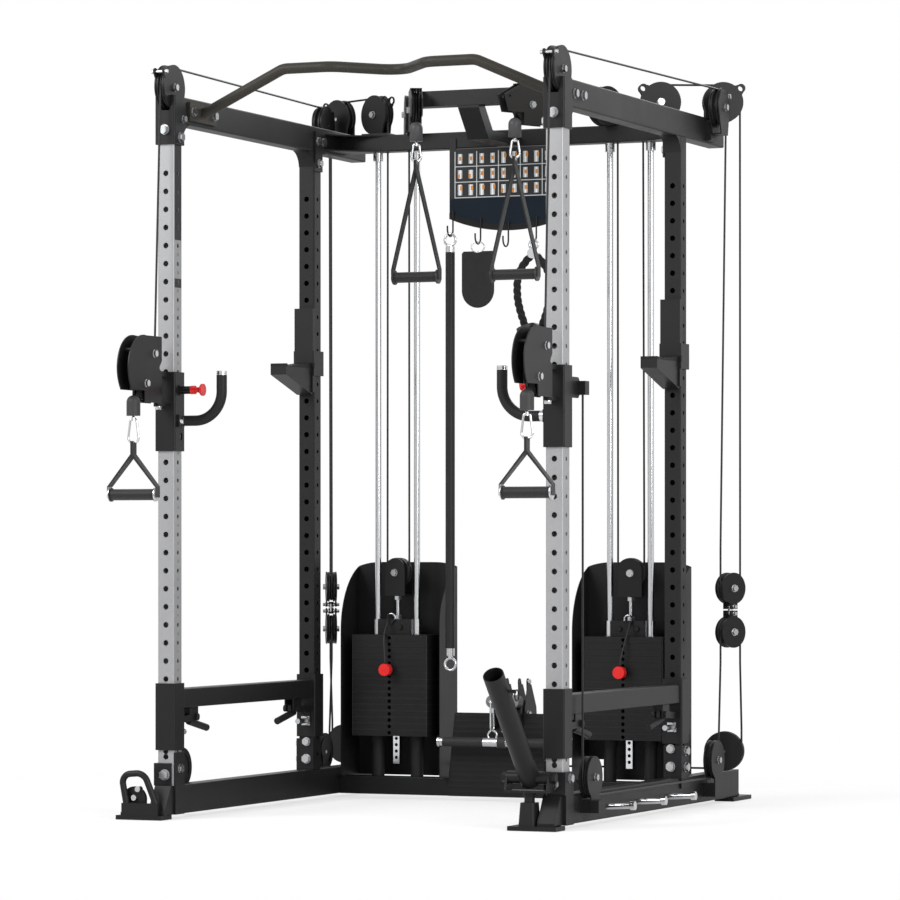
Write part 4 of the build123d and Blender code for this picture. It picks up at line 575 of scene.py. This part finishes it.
class TRAINER_OT_metalwork(bpy.types.Operator):
    """Plates the rods, hooks, pegs and bolts"""
    bl_idname = "trainer.metalwork"
    bl_label = "Plated metal"

    def execute(self, context):
        colours, _ = settings()
        coat = tuple(colours.coat)
        plated = chrome()
        for node in ("guide_rods", "band_pegs"):
            wear(node, plated)
        wear("storage_hooks", powder_coat("hook_coat", (0.009, 0.009, 0.0095)))
        wear("frame_bolts", chrome("bolt_zinc", ZINC, 0.24))
        wear("rope_fittings", self.rope_metal())
        wear("row_bar", self.row_finish())
        wear("lat_bar", self.bar_finish())
        wear("j_hooks", self.hook_finish())
        wear("rope_anchor", self.anchor_finish(coat))
        for hand, side in HANDS:
            wear("safety_bar_" + hand, self.arm_finish(coat, side, hand))
        return {"FINISHED"}

    def anchor_finish(self, tint):
        """Coated loop and fin with two plated bolts."""
        m = Finish("anchor_coat", tint, 0.42)
        x, y, z = m.xyz()
        upper, lower = (((x - bolt_x) * (x - bolt_x) + (z - bolt_z) * (z - bolt_z)).math("SQRT")
                        for bolt_x, bolt_z in ANCHOR_BOLTS)
        bolts = (1 - upper.math("MINIMUM", lower).beyond(0.0085)) * (1 - y.beyond(-0.0762 + DATUM_Y)) \
            * y.beyond(-0.0842 + DATUM_Y)
        return m.coated(tint, [(bolts, ZINC, 0.24, 1.0)])

    def arm_finish(self, tint, side, hand):
        """Coated arm with plated lock pins at both ends."""
        m = Finish("arm_coat_" + hand, tint, 0.42)
        x, y, z = m.xyz()
        u = abs(x - side * POST_X)
        v = abs(abs(y - ARM_MID) - ARM_HALF)
        pins = (1 - u.beyond(0.0132)) * v.within(0.0262, 0.09) * abs(z - 0.237).math("LESS_THAN", 0.0133)
        inner = 1 - abs(y - ARM_MID).beyond(0.43)
        return m.coated(tint, [(pins * inner, ZINC, 0.24, 1.0)])

    def rope_metal(self):
        """Plated eye at the top and pale moulded stops at the ends."""
        m = Finish("rope_metal", CHROME, 0.2, 1.0)
        stops = 1 - m.xyz()[2].beyond(1.5)
        cloud = m.noise(20, 3)
        m.zones((m.blend(cloud, scaled(CHROME, 0.9), CHROME), 0.18, 1.0),
                [(stops, (0.035, 0.035, 0.037), 0.45, 0.0)])
        m.bump(cloud, 0.0001, 0.4)
        return m

    def row_finish(self):
        """A plated bar with knurled grips, grey ball stops and snap hooks."""
        m = Finish("row_finish", CHROME, 0.15, 1.0)
        x, y, z = m.xyz()
        balls = (1 - y.beyond(1.0584 + DATUM_Y)) * z.beyond(0.2771) * y.beyond(1.0179 + DATUM_Y)
        middle = (1 - abs(x).beyond(0.0135)) * (1 - z.beyond(0.2))
        cloud = m.noise(25, 3)
        grips = abs(x).within(0.06, 0.19) * (1 - z.beyond(0.192))
        m.zones((m.blend(cloud, scaled(CHROME, 0.9), CHROME), 0.15, 1.0),
                [(grips, (0.025, 0.025, 0.026), 0.5, 0.1), (balls, (0.05, 0.051, 0.053), 0.5, 0.0),
                 (middle, (0.03, 0.03, 0.031), 0.5, 0.0)])
        knurl = (x * 2200.0).math("SINE") * (z * 2200.0).math("SINE") * grips
        m.bump(knurl, 0.0002, 0.5)
        return m

    def bar_finish(self):
        """The hanging bar: rubber sleeve, plated ends and rings."""
        m = Finish("bar_finish", RUBBER, 0.5)
        sleeve = m.xyz()[2].within(0.452, 1.628)
        cloud = m.noise(16, 3)
        m.zones((m.blend(cloud, scaled(CHROME, 0.9), CHROME), 0.15, 1.0),
                [(sleeve, m.blend(cloud, (0.01, 0.01, 0.0103), (0.016, 0.016, 0.0165)), 0.46, 0.0)])
        m.bump(m.cells(1300) * sleeve, 0.0001, 0.5)
        return m

    def hook_finish(self):
        """Bar holders: coated steel with a plastic liner on the cradle."""
        m = Finish("hook_finish", (0.009, 0.009, 0.0095), 0.42)
        _, y, z = m.xyz()
        liner = (1 - z.beyond(1.3005)) * z.beyond(1.2825) * (1 - y.beyond(0.883 + DATUM_Y))
        cloud = m.noise(12, 4)
        m.zones((m.blend(cloud * 0.7, (0.0085, 0.0085, 0.009), (0.013, 0.013, 0.0135)), 0.4, 0.0),
                [(liner, (0.006, 0.006, 0.006), 0.62, 0.0)])
        m.bump(m.noise(900, 2), PEEL, 0.6)
        return m


class TRAINER_OT_pulleys(bpy.types.Operator):
    """Moulds the wheels"""
    bl_idname = "trainer.pulleys"
    bl_label = "Pulleys"

    def execute(self, context):
        wheel = moulded("wheel_plastic", (0.0075, 0.0075, 0.0078), 0.42)
        for node in ("turn_pulleys", "top_front_pulleys", "top_rear_pulleys", "low_front_pulleys",
                     "low_rear_pulleys", "row_pulleys"):
            wear(node, wheel)
        return {"FINISHED"}


class TRAINER_OT_stacks(bpy.types.Operator):
    """Finishes the weight stacks, their yokes, stems and bumpers"""
    bl_idname = "trainer.stacks"
    bl_label = "Weight stacks"

    def execute(self, context):
        colours, _ = settings()
        wear("resting_plates", self.iron(tuple(colours.plate)))
        wear("stack_bumpers", moulded("bumper_rubber", RUBBER, 0.55))
        for hand, side in HANDS:
            wear("stack_carriage_" + hand, self.carriage(tuple(colours.plate), side, hand))
            wear("floating_block_" + hand, self.block(tuple(colours.coat), hand))
        return {"FINISHED"}

    def iron(self, tint):
        """Painted iron with a light casting grain and thin bare edges between the plates."""
        m = Finish("plate_iron", tint, 0.4)
        grain = m.noise(420, 4)
        cloud = m.noise(22, 4)
        rub = ((m.xyz()[2] - PLATE_LOW) / PLATE_PITCH).math("FRACT")
        edge = (1 - rub.beyond(0.035, 0.03)) + rub.beyond(0.945, 0.03)
        m.zones((m.blend(cloud, tint, scaled(tint, 1.5)), 0.36, 0.0),
                [(edge * cloud * 0.5, (0.06, 0.06, 0.06), 0.35, 0.3)])
        m.bump(grain, 0.00015, 0.5)
        return m

    def carriage(self, tint, side, hand):
        """Plates as the resting ones, with plated stem, rod bushes and lifting bolt."""
        m = Finish("carriage_iron_" + hand, tint, 0.4)
        x, y, z = m.xyz()
        u = abs(x - side * STACK_X)
        v = abs(y - STEM_Y)
        cloud = m.noise(22, 4)
        stem = (1 - u.beyond(0.0104)) * (1 - v.beyond(0.0104)) * (1 - z.beyond(0.4))
        bushes = abs(u - 0.0635).math("LESS_THAN", 0.0142) * (1 - v.beyond(0.0142)) * z.beyond(0.4918)
        top_bolt = (1 - u.beyond(0.0112)) * z.within(0.5372, 0.606)
        away = abs((x - side * STACK_X) * YOKE_NORMAL[0] * side + (y - YOKE_Y) * YOKE_NORMAL[1])
        yoke_bolts = away.beyond(0.0204) * z.beyond(0.615)
        m.zones((m.blend(cloud, tint, scaled(tint, 1.5)), 0.38, 0.0),
                [(yoke_bolts, ZINC, 0.24, 1.0), (stem, CHROME, 0.16, 1.0), (bushes, CHROME, 0.18, 1.0),
                 (top_bolt, ZINC, 0.25, 1.0)])
        m.bump(m.noise(420, 4), 0.00012, 0.5)
        return m

    def block(self, tint, hand):
        """Coated cheeks with plated bolts and link."""
        m = Finish("block_coat_" + hand, tint, 0.42)
        x, y, z = m.xyz()
        u = abs((abs(x) - BLOCK_X) * BLOCK_NORMAL[0] - (y - BLOCK_Y) * BLOCK_NORMAL[1])
        link = (1 - u.beyond(0.0105)) * abs(z - BLOCK_LINK_Z).math("LESS_THAN", 0.012)
        return m.coated(tint, [(u.beyond(0.0165), ZINC, 0.24, 1.0), (link, CHROME, 0.2, 1.0)])


class TRAINER_OT_trolleys(bpy.types.Operator):
    """Finishes the sliding sleeves, swivelling heads and their pins"""
    bl_idname = "trainer.trolleys"
    bl_label = "Trolleys"

    def execute(self, context):
        colours, _ = settings()
        coat, red = tuple(colours.coat), tuple(colours.knob)
        for hand, side in HANDS:
            wear("trolley_" + hand, self.sleeve(coat, side, hand))
            wear("swivel_head_" + hand, self.head(coat, side, hand))
            wear("pop_pin_" + hand, self.pin("pin_red_" + hand, red, 0, side, 0.5115))
            wear("selector_pin_" + hand, self.pin("selector_red_" + hand, red, 1, 1, 1.0205 + DATUM_Y))
            for end in ("front", "rear"):
                name = end + "_" + hand
                wear("safety_lever_" + name, moulded("lever_grip_" + name, RUBBER, 0.5))
        return {"FINISHED"}

    def sleeve(self, tint, side, hand):
        """Coated sleeve, rubber handle and a plated hinge bolt."""
        m = Finish("sleeve_coat_" + hand, tint, 0.4)
        x, y, z = m.xyz()
        u = x * side
        cloud = m.noise(10, 4)
        handle = 1 - u.beyond(0.5405)
        tips = handle * z.beyond(1.227) + handle * u.beyond(0.5295) * (1 - z.beyond(1.16))
        ends = tips.math("MINIMUM", 1)
        pin_tube = z.within(POP_PIN_Z - 0.0145, POP_PIN_Z + 0.0145) * u.within(0.511, 0.5468) \
            * (1 - abs(y - DATUM_Y).beyond(0.0145))
        bolt = (z.beyond(1.2372) + (1 - z.beyond(1.1398)) * z.beyond(1.125)).math("MINIMUM", 1) \
            * (1 - abs(y - (DATUM_Y - 0.072)).beyond(0.0125)) * (1 - abs(u - POST_X).beyond(0.0125))
        m.zones((m.blend(cloud * 0.7, tint, scaled(tint, 1.4)), 0.4, 0.0),
                [(handle, m.blend(cloud, (0.008, 0.008, 0.0082), (0.014, 0.014, 0.0145)), 0.52, 0.0),
                 (pin_tube, (0.01, 0.01, 0.0105), 0.35, 0.2), (bolt, CHROME, 0.2, 1.0),
                 (ends, CHROME, 0.16, 1.0)])
        ribs = (z * 1000.0).math("SINE") * handle * z.beyond(1.135)
        m.bump(m.noise(900, 2) * 0.1 + ribs * 0.5, 0.0004, 0.5)
        return m

    def head(self, tint, side, hand):
        """Coated cheeks, moulded wheels and a grey ball stop."""
        m = Finish("head_coat_" + hand, tint, 0.4)
        x, y, z = m.xyz()
        u = abs(x - side * POST_X)
        ball = (1 - u.beyond(0.0195)) * (1 - z.beyond(1.1662)) * (1 - y.beyond(-0.1995 + DATUM_Y))
        wheel = (1 - u.beyond(0.0102)) * z.beyond(1.153)
        bolts = u.beyond(0.0187)
        knuckle = (1 - u.beyond(0.0118)) * y.beyond(-0.0845 + DATUM_Y)
        return m.coated(tint, [(wheel, (0.007, 0.007, 0.0073), 0.42, 0.0), (bolts, CHROME, 0.18, 1.0),
                               (knuckle, (0.009, 0.009, 0.0095), 0.4, 0.0),
                               (ball, (0.034, 0.034, 0.033), 0.5, 0.0)], rough=0.4, dust=1.4)

    def pin(self, name, tint, axis, way, shaft_from):
        """Red knob on a plated shaft, which starts at a place along an axis."""
        m = Finish(name, tint, 0.32, coat=0.3)
        shaft = (m.xyz()[axis] * way).beyond(shaft_from)
        cloud = m.noise(40, 3)
        m.zones((m.blend(cloud, tint, scaled(tint, 1.2)), 0.32, 0.0), [(shaft, CHROME, 0.15, 1.0)])
        m.bump(m.cells(1500), 0.00005, 0.4)
        return m


class TRAINER_OT_handles(bpy.types.Operator):
    """Finishes the strap handles: snap hook, webbing and grip"""
    bl_idname = "trainer.handles"
    bl_label = "Strap handles"

    def execute(self, context):
        for hand, side in HANDS:
            self.handle("d_handle_" + hand, side * POST_X, 0.895, 1.048, -0.219 + DATUM_Y, CHROME, 1.0)
            self.handle("lat_handle_" + hand, side * LAT_X, 1.535, 1.874, 0.7394 + DATUM_Y,
                        (0.022, 0.022, 0.021), 0.0)
        return {"FINISHED"}

    def handle(self, node, mid, grip_z, strap_top, mid_y, rim, metal):
        """Webbing with a paler edge, a moulded grip between two rims, and a plated hook above the strap."""
        m = Finish(node + "_finish", RUBBER, 0.55, sheen=0.2)
        x, y, z = m.xyz()
        u = abs(x - mid)
        v = abs(y - mid_y)
        clip = (z.beyond(strap_top - 0.012) * (1 - v.beyond(0.0055))).math("MAXIMUM",
                                                                           z.beyond(strap_top + 0.0005))
        low = 1 - z.beyond(grip_z + 0.0212)
        in_grip = low * (1 - u.beyond(0.0712))
        rims = low * u.within(0.0685, 0.0724)
        weave = (y * 2500.0).math("SINE") * (z * 2500.0).math("SINE")
        edge = v.within(0.0085, 0.01)
        cloud = m.noise(60, 3)
        m.zones((m.blend(cloud, (0.007, 0.007, 0.0073), (0.014, 0.014, 0.0145)), 0.75, 0.0),
                [(edge, (0.022, 0.022, 0.023), 0.8, 0.0), (in_grip, (0.0105, 0.0105, 0.011), 0.5, 0.0),
                 (rims, rim, 0.25, metal), (clip, CHROME, 0.15, 1.0)])
        m.bump(weave * (1 - in_grip) * (1 - clip) + m.cells(900) * in_grip, 0.0002, 0.6)
        wear(node, m)


class TRAINER_OT_board(bpy.types.Operator):
    """Prints the exercise board"""
    bl_idname = "trainer.board"
    bl_label = "Exercise board"

    def execute(self, context):
        colours, _ = settings()
        m = Finish("board_print", tuple(colours.board), 0.5, specular=0.08)
        x, y, z = m.xyz()
        ground = m.blend(z.beyond(1.788), tuple(colours.board), tuple(colours.board_top))
        columns = (x + CHART_HALF) / CHART_COLUMN
        rows = (z - CHART_LOW) / CHART_ROW
        cx = columns.math("FRACT")
        cz = rows.math("FRACT")
        chart = z.within(CHART_LOW, CHART_TOP) * (1 - abs(x).beyond(CHART_HALF))
        rule = ((1 - cx.beyond(0.035, 0.01)) + (1 - cz.beyond(0.05, 0.01))).math("MINIMUM", 1) * chart
        cell = m.node("ShaderNodeCombineXYZ", (), {0: columns.math("FLOOR"), 1: rows.math("FLOOR")})
        pick = m.node("ShaderNodeTexWhiteNoise", {"noise_dimensions": "2D"}, {"Vector": cell.outputs[0]})
        chance = Value(m, pick.outputs["Value"])
        # plain motifs: a pale stack of bars with a warm block in each half cell
        side = (cx * 2).math("FRACT") - 0.5
        dz = cz - 0.52
        tall = 0.26 + chance * 0.1
        body = abs(side).math("LESS_THAN", 0.2) * abs(dz).math("LESS_THAN", tall)
        slots = (dz * (14 + chance * 8)).math("FRACT").beyond(0.42, 0.05) + abs(side).math("LESS_THAN", 0.07)
        pale = body * slots.math("MINIMUM", 1) * chart
        warm = abs(side - (chance - 0.5) * 0.3).math("LESS_THAN", 0.11) \
            * abs(dz - (chance - 0.5) * 0.3).math("LESS_THAN", 0.13) * chart
        front = 1 - y.beyond(1.0721 + DATUM_Y, 0.0002)
        share = (rule * 0.7 + pale).math("MINIMUM", 1) * front
        lip = 1 - y.beyond(1.0718 + DATUM_Y, 0.0001)
        tint = m.blend(share * 0.9, ground, tuple(colours.ink))
        tint = m.blend(warm * front, tint, (0.5, 0.2, 0.04))
        tint = m.blend(lip, tint, (0.012, 0.012, 0.013))
        m.colour(m.blend(front, (0.02, 0.021, 0.023), tint))
        m.rough(0.5 + m.noise(12, 4) * 0.12)
        m.bump(m.noise(700, 2), 0.00004, 0.5)
        wear("placard", m)
        return {"FINISHED"}


class TRAINER_OT_cables(bpy.types.Operator):
    """Splits the cables into stretches; those that lie wholly by a moving piece ride on it, and the legs
    between stay where they are
    """
    bl_idname = "trainer.cables"
    bl_label = "Cables"

    def execute(self, context):
        m = Finish("cable_coat", (0.012, 0.012, 0.013), 0.34)
        x, y, z = m.xyz()
        lay = m.noise(300, 2)
        m.rough(0.3 + lay * 0.1)
        balls = z.within(1.9285, 1.9852) * abs(x).within(0.134, 0.174) * (1 - y.beyond(0.76 + DATUM_Y))
        coat = m.blend(lay, (0.01, 0.01, 0.011), (0.02, 0.02, 0.021))
        m.colour(m.blend(balls, coat, (0.055, 0.056, 0.058)))
        m.bump(lay, 0.00005, 0.4)
        # boxes on the right side round the stretches that move as one: x, y and z, each from and to
        head = (0.56, 0.6, -0.3, -0.03, 1.15, 1.33)
        anchor = (0.6, 0.63, 0.07, 0.1, 1.1, 1.18)
        loop = (0.6, 0.69, 1.15, 1.28, 0.4, 0.78)
        stack = (0.3, 0.44, 1.07, 1.14, 0.6, 0.81)
        rise_from = 0.8
        for hand, side in HANDS:
            trolley, block, lifted = "trolley_" + hand, "floating_block_" + hand, "stack_" + hand
            for name, keep, body, heights in (
                    ("cable_head_", self.whole(head, side), "swivel_head_" + hand, None),
                    ("cable_front_leg_", self.partly(head, side), trolley, (2.0, 1.4)),
                    ("cable_return_leg_", self.partly(anchor, side), trolley, (0.22, 1.0)),
                    ("cable_block_loop_", self.whole(loop, side), block, None),
                    ("cable_block_rise_", self.partly(loop, side, low=rise_from), block, (1.7, 0.8)),
                    ("cable_block_fall_", self.partly(loop, side, high=rise_from), block, (0.26, 0.41)),
                    ("cable_stack_loop_", self.whole(stack, side), lifted, None),
                    ("cable_stack_leg_", self.partly(stack, side), lifted, (1.86, 0.9))):
                self.stretch(name + hand, m, keep, body, heights)

        def left_over(corners):
            taken = np.zeros(len(corners), bool)
            for _, side in HANDS:
                for box in (head, anchor, loop, stack):
                    taken |= self.inside(box, side, corners).any(1)
            return ~taken

        runs = mesh_part("cable_runs", "cables", left_over, m)
        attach(runs, "frame")
        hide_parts("cables")
        return {"FINISHED"}

    def inside(self, box, side, corners):
        """Which corners of the triangles lie in a box given for the right side."""
        x = corners[:, :, 0] * side
        y = corners[:, :, 1] - DATUM_Y
        z = corners[:, :, 2]
        return (x > box[0]) & (x < box[1]) & (y > box[2]) & (y < box[3]) & (z > box[4]) & (z < box[5])

    def whole(self, box, side):
        """Triangles that lie in the box."""
        return lambda corners: self.inside(box, side, corners).all(1)

    def partly(self, box, side, low=0, high=3):
        """Triangles that reach out of the box, with their highest corner between two heights."""
        def keep(corners):
            held = self.inside(box, side, corners)
            top = corners[:, :, 2].max(1)
            return held.any(1) & ~held.all(1) & (top > low) & (top <= high)
        return keep

    def stretch(self, name, finish, keep, body, heights):
        """One stretch of cable: it rides on the body if no heights are given; otherwise it stays where it is,
        and the two heights are not used.
        """
        piece = mesh_part(name, "cables", keep, finish)
        if heights is None:
            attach(piece, body)
        else:
            start, end = heights
            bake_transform(piece)


class TRAINER_OT_rope(bpy.types.Operator):
    """Lays the three-strand hand rope"""
    bl_idname = "trainer.rope"
    bl_label = "Hand rope"

    def execute(self, context):
        _, sizes = settings()
        m = Finish("rope_fibre", (0.009, 0.009, 0.009), 0.8, sheen=0.05)
        u, v, _ = m.uv()
        fibre = (u * 900.0 + v * 38.0).math("SINE")
        cloud = m.noise(90, 4)
        m.colour(m.blend(fibre * 0.25 + cloud * 0.6, (0.004, 0.004, 0.004), (0.02, 0.02, 0.0195)))
        m.rough(0.7 + cloud * 0.15)
        m.bump(fibre * 0.5 + cloud, 0.0003, 0.7)
        radius = sizes.rope / 2
        for hand, side in HANDS:
            route = [at(89 + side * off, HOOK_Y, z)
                     for off, z in ((12, 1607.5), (48, 1572), (54, 1513), (47, 1456), (27, 1404))]
            path = even(smooth_line(route), 0.0025)
            across, up = frames_along(path)
            along = distance_along(path)
            points, faces, uvs, shift = [], [], [], 0
            for k in range(3):
                angle = (along * sizes.rope_turns * 2 * math.pi + k * 2 * math.pi / 3)[:, None]
                centre = path + 0.46 * radius * (across * np.cos(angle) + up * np.sin(angle))
                strand, quads, uv = tube(centre, radius * 0.535)
                points.append(strand)
                uvs.append(uv)
                faces += [[i + shift for i in face] for face in quads]
                shift += len(strand)
            piece = surface("rope_" + hand, np.vstack(points), faces, m, "frame", np.vstack(uvs))
            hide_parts("triceps_rope")
        return {"FINISHED"}


class TRAINER_OT_lanyards(bpy.types.Operator):
    """Hangs the cords of the selector pins"""
    bl_idname = "trainer.lanyards"
    bl_label = "Pin cords"

    def execute(self, context):
        _, sizes = settings()
        m = Finish("lanyard_coat", (0.014, 0.014, 0.015), 0.5)
        braid = m.cells(900) + m.noise(500, 2) * 0.3
        m.colour(m.blend(braid, (0.01, 0.01, 0.01), (0.03, 0.03, 0.031)))
        m.rough(0.45 + braid * 0.1)
        m.bump(braid, 0.0002, 0.6)
        route = ((386.5, 1062, 532), (387.5, 1036, 504), (382.5, 1021, 465), (375.5, 1013, 433),
                 (373.5, 1010, 405.7))
        for hand, side in HANDS:
            spots = [at(side * px, py, pz) for px, py, pz in route]
            path = smooth_line(spots)
            piece = tube_piece("lanyard_cord_" + hand, path, sizes.lanyard / 2, m)
            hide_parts("lanyard_" + hand)
            tuple(at(0, 1062, 0))
            tuple(at(0, 1012, 0))
            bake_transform(piece)
        return {"FINISHED"}


class TRAINER_OT_cuff(bpy.types.Operator):
    """Shapes the padded ankle cuff"""
    bl_idname = "trainer.cuff"
    bl_label = "Ankle cuff"

    def execute(self, context):
        colours, _ = settings()
        m = Finish("cuff_cloth", tuple(colours.cuff), 0.85, sheen=0.08)
        x, _, z = m.xyz()
        weave = (x * 3200.0).math("SINE") * (z * 3200.0).math("SINE")
        cloud = m.noise(40, 4)
        binding = x.beyond(CUFF_X / 1000 + 0.043)
        m.zones((m.blend(cloud, tuple(colours.cuff), scaled(tuple(colours.cuff), 1.5)), 0.85, 0.0),
                [(binding, (0.022, 0.022, 0.023), 0.8, 0.0)])
        m.bump(weave * 0.5 + cloud, 0.0004, 0.6)
        points, faces = self.pad()
        pad = surface("cuff_pad", points, faces, m, "frame")
        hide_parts("ankle_cuff")
        ring = chrome("cuff_ring_steel", rough=0.18)
        wide, high = 21, 15.5
        loop = np.array([at(CUFF_X + wide * math.sin(t), HOOK_Y, CUFF_RING + high * math.cos(t))
                         for t in np.linspace(0, 2 * math.pi, 49)])
        hoop = tube_piece("cuff_ring", loop, 0.002, ring, "frame")
        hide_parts("ankle_cuff")
        return {"FINISHED"}

    def pad(self):
        """A crowned pad: square corners at the top and a half round below, pulled in along its bound edge."""
        top, low, half, crown = 1629.0, 1461.0, 52.0, 6.0
        centre = np.array([0.0, 1560.0])
        edge = [(-half + 6, top), (half - 6, top), (half, top - 6)]
        edge += [(half * math.cos(t), low + half - half * math.sin(t)) for t in np.linspace(0, math.pi, 41)]
        edge += [(-half, top - 6)]
        edge = even(np.array([(x, 0.0, z) for x, z in edge + edge[:1]]), 0.9)[:-1, [0, 2]]
        rings = np.array([0.0, 0.18, 0.36, 0.54, 0.7, 0.82, 0.9, 0.94, 0.97, 0.99, 1.0])
        lift = crown * np.sqrt(np.clip(1 - rings ** 6, 0, 1)) - 0.9 * np.exp(-((rings - 0.92) / 0.018) ** 2)
        points, count = [], len(edge)
        for face in (-1, 1):
            stop = None if face == -1 else -1
            for share, up in zip(rings[1:stop], lift[1:stop]):
                for x, z in centre + (edge - centre) * share:
                    points.append(at(CUFF_X + x, HOOK_Y + 1 + face * up, z))
        rows = len(rings) - 1
        front = [[i + k * count for i in range(count)] for k in range(rows)]
        back = [[rows * count + i + k * count for i in range(count)] for k in range(rows - 1)] + [front[-1]]
        faces = []
        for sheet, way in ((front, 1), (back, -1)):
            for inner, outer in zip(sheet[:-1], sheet[1:]):
                for i in range(count):
                    j = (i + 1) % count
                    faces.append((inner[i], outer[i], outer[j], inner[j])[::way])
            points.append(at(CUFF_X + centre[0], HOOK_Y + 1 - way * crown, centre[1]))
            faces += [(len(points) - 1, sheet[0][i], sheet[0][(i + 1) % count])[::way] for i in range(count)]
        return np.array(points), faces


class TRAINER_OT_stage(bpy.types.Operator):
    """Sets the floor, the lamps, the world and the camera"""
    bl_idname = "trainer.stage"
    bl_label = "Stage"

    def execute(self, context):
        _, sizes = settings()
        scene = context.scene
        self.floor(scene)
        scene.world = self.room()
        for name, spot, power, height in (("key_lamp", (-3.2, -4.6, 4.4), 300, 1.0),
                                          ("fill_lamp", (4.6, -3.2, 2.6), 235, 1.0),
                                          ("back_lamp", (0.5, 4.5, 4.0), 70, 1.2)):
            self.lamp(scene, name, Vector(spot), power, Vector((0, 0, height)))
        lens = bpy.data.cameras.new("camera")
        lens.lens = sizes.lens
        lens.sensor_width = 36
        lens.shift_y = 0.1104
        lens.clip_end = 60
        camera = bpy.data.objects.new("camera", lens)
        camera.location = at(4611.2, -10221.2, 746.0)
        camera.rotation_euler = (math.radians(90), 0, math.radians(23.03))
        scene.collection.objects.link(camera)
        scene.camera = camera
        scene.view_settings.view_transform = "Standard"
        return {"FINISHED"}

    def floor(self, scene):
        """Pale paper, which turns white with distance where the camera sees it."""
        paper = Finish("floor_paper", (0.93, 0.93, 0.93), 0.9)
        ray = paper.node("ShaderNodeLightPath")
        glow = paper.node("ShaderNodeEmission", (), {"Color": (1, 1, 1, 1), "Strength": 1.0})
        camera_ray = Value(paper, ray.outputs["Is Camera Ray"])
        px, py, _ = paper.xyz()
        reach = (px * px + py * py).math("SQRT").beyond(1.9, 1.4)
        joined = paper.node("ShaderNodeMixShader", (), {0: camera_ray * (0.66 + reach * 0.34),
                                                         1: paper.shader.outputs[0], 2: glow.outputs[0]})
        paper.tree.links.new(joined.outputs[0], paper.tree.nodes["Material Output"].inputs[0])
        half, drop = 12, -0.001
        mesh = bpy.data.meshes.new("studio_floor")
        corners = ((-half, -half), (half, -half), (half, half), (-half, half))
        mesh.from_pydata([(x, y, drop) for x, y in corners], [], [[0, 1, 2, 3]])
        mesh.materials.append(paper.material)
        floor = bpy.data.objects.new("studio_floor", mesh)
        scene.collection.objects.link(floor)

    def room(self):
        """A white world, seen at full strength and a little dimmer as light."""
        world = bpy.data.worlds.new("studio_world")
        world.use_nodes = True
        tree = world.node_tree
        back = tree.nodes["Background"]
        back.inputs[0].default_value = (1, 1, 1, 1)
        path = tree.nodes.new("ShaderNodeLightPath")
        seen = tree.nodes.new("ShaderNodeMath")
        seen.operation = "MAXIMUM"
        tree.links.new(path.outputs["Is Camera Ray"], seen.inputs[0])
        tree.links.new(path.outputs["Is Glossy Ray"], seen.inputs[1])
        scale = tree.nodes.new("ShaderNodeMapRange")
        scale.inputs["To Min"].default_value = 0.55
        scale.inputs["To Max"].default_value = 1.0
        tree.links.new(seen.outputs[0], scale.inputs["Value"])
        tree.links.new(scale.outputs[0], back.inputs[1])
        return world

    def lamp(self, scene, name, spot, power, aim):
        """A square lamp at a spot, turned towards a point."""
        light = bpy.data.lights.new(name, "AREA")
        light.energy = power
        light.size = 3.0
        holder = bpy.data.objects.new(name, light)
        holder.location = spot
        holder.rotation_euler = (aim - spot).to_track_quat("-Z", "Y").to_euler()
        scene.collection.objects.link(holder)


OPERATORS = (TRAINER_OT_frame, TRAINER_OT_numbers, TRAINER_OT_metalwork, TRAINER_OT_pulleys,
             TRAINER_OT_stacks, TRAINER_OT_trolleys, TRAINER_OT_handles, TRAINER_OT_board, TRAINER_OT_cables,
             TRAINER_OT_rope, TRAINER_OT_lanyards, TRAINER_OT_cuff, TRAINER_OT_stage)


class TRAINER_PT_panel(bpy.types.Panel):
    """Lists the trainer's pieces"""
    bl_label = "Functional trainer"
    bl_idname = "TRAINER_PT_panel"
    bl_space_type = "VIEW_3D"
    bl_region_type = "UI"
    bl_category = "Trainer"

    def draw(self, context):
        for operator in OPERATORS:
            self.layout.operator(operator.bl_idname)


CLASSES = (TrainerColours, TrainerSizes, *OPERATORS, TRAINER_PT_panel)


def register():
    for kind in CLASSES:
        bpy.utils.register_class(kind)
    bpy.types.Scene.trainer_colours = PointerProperty(type=TrainerColours)
    bpy.types.Scene.trainer_sizes = PointerProperty(type=TrainerSizes)


def unregister():
    del bpy.types.Scene.trainer_sizes
    del bpy.types.Scene.trainer_colours
    for kind in reversed(CLASSES):
        bpy.utils.unregister_class(kind)


def main():
    register()
    for operator in OPERATORS:
        group, name = operator.bl_idname.split(".")
        getattr(getattr(bpy.ops, group), name)()


if __name__ == "__main__":
    main()
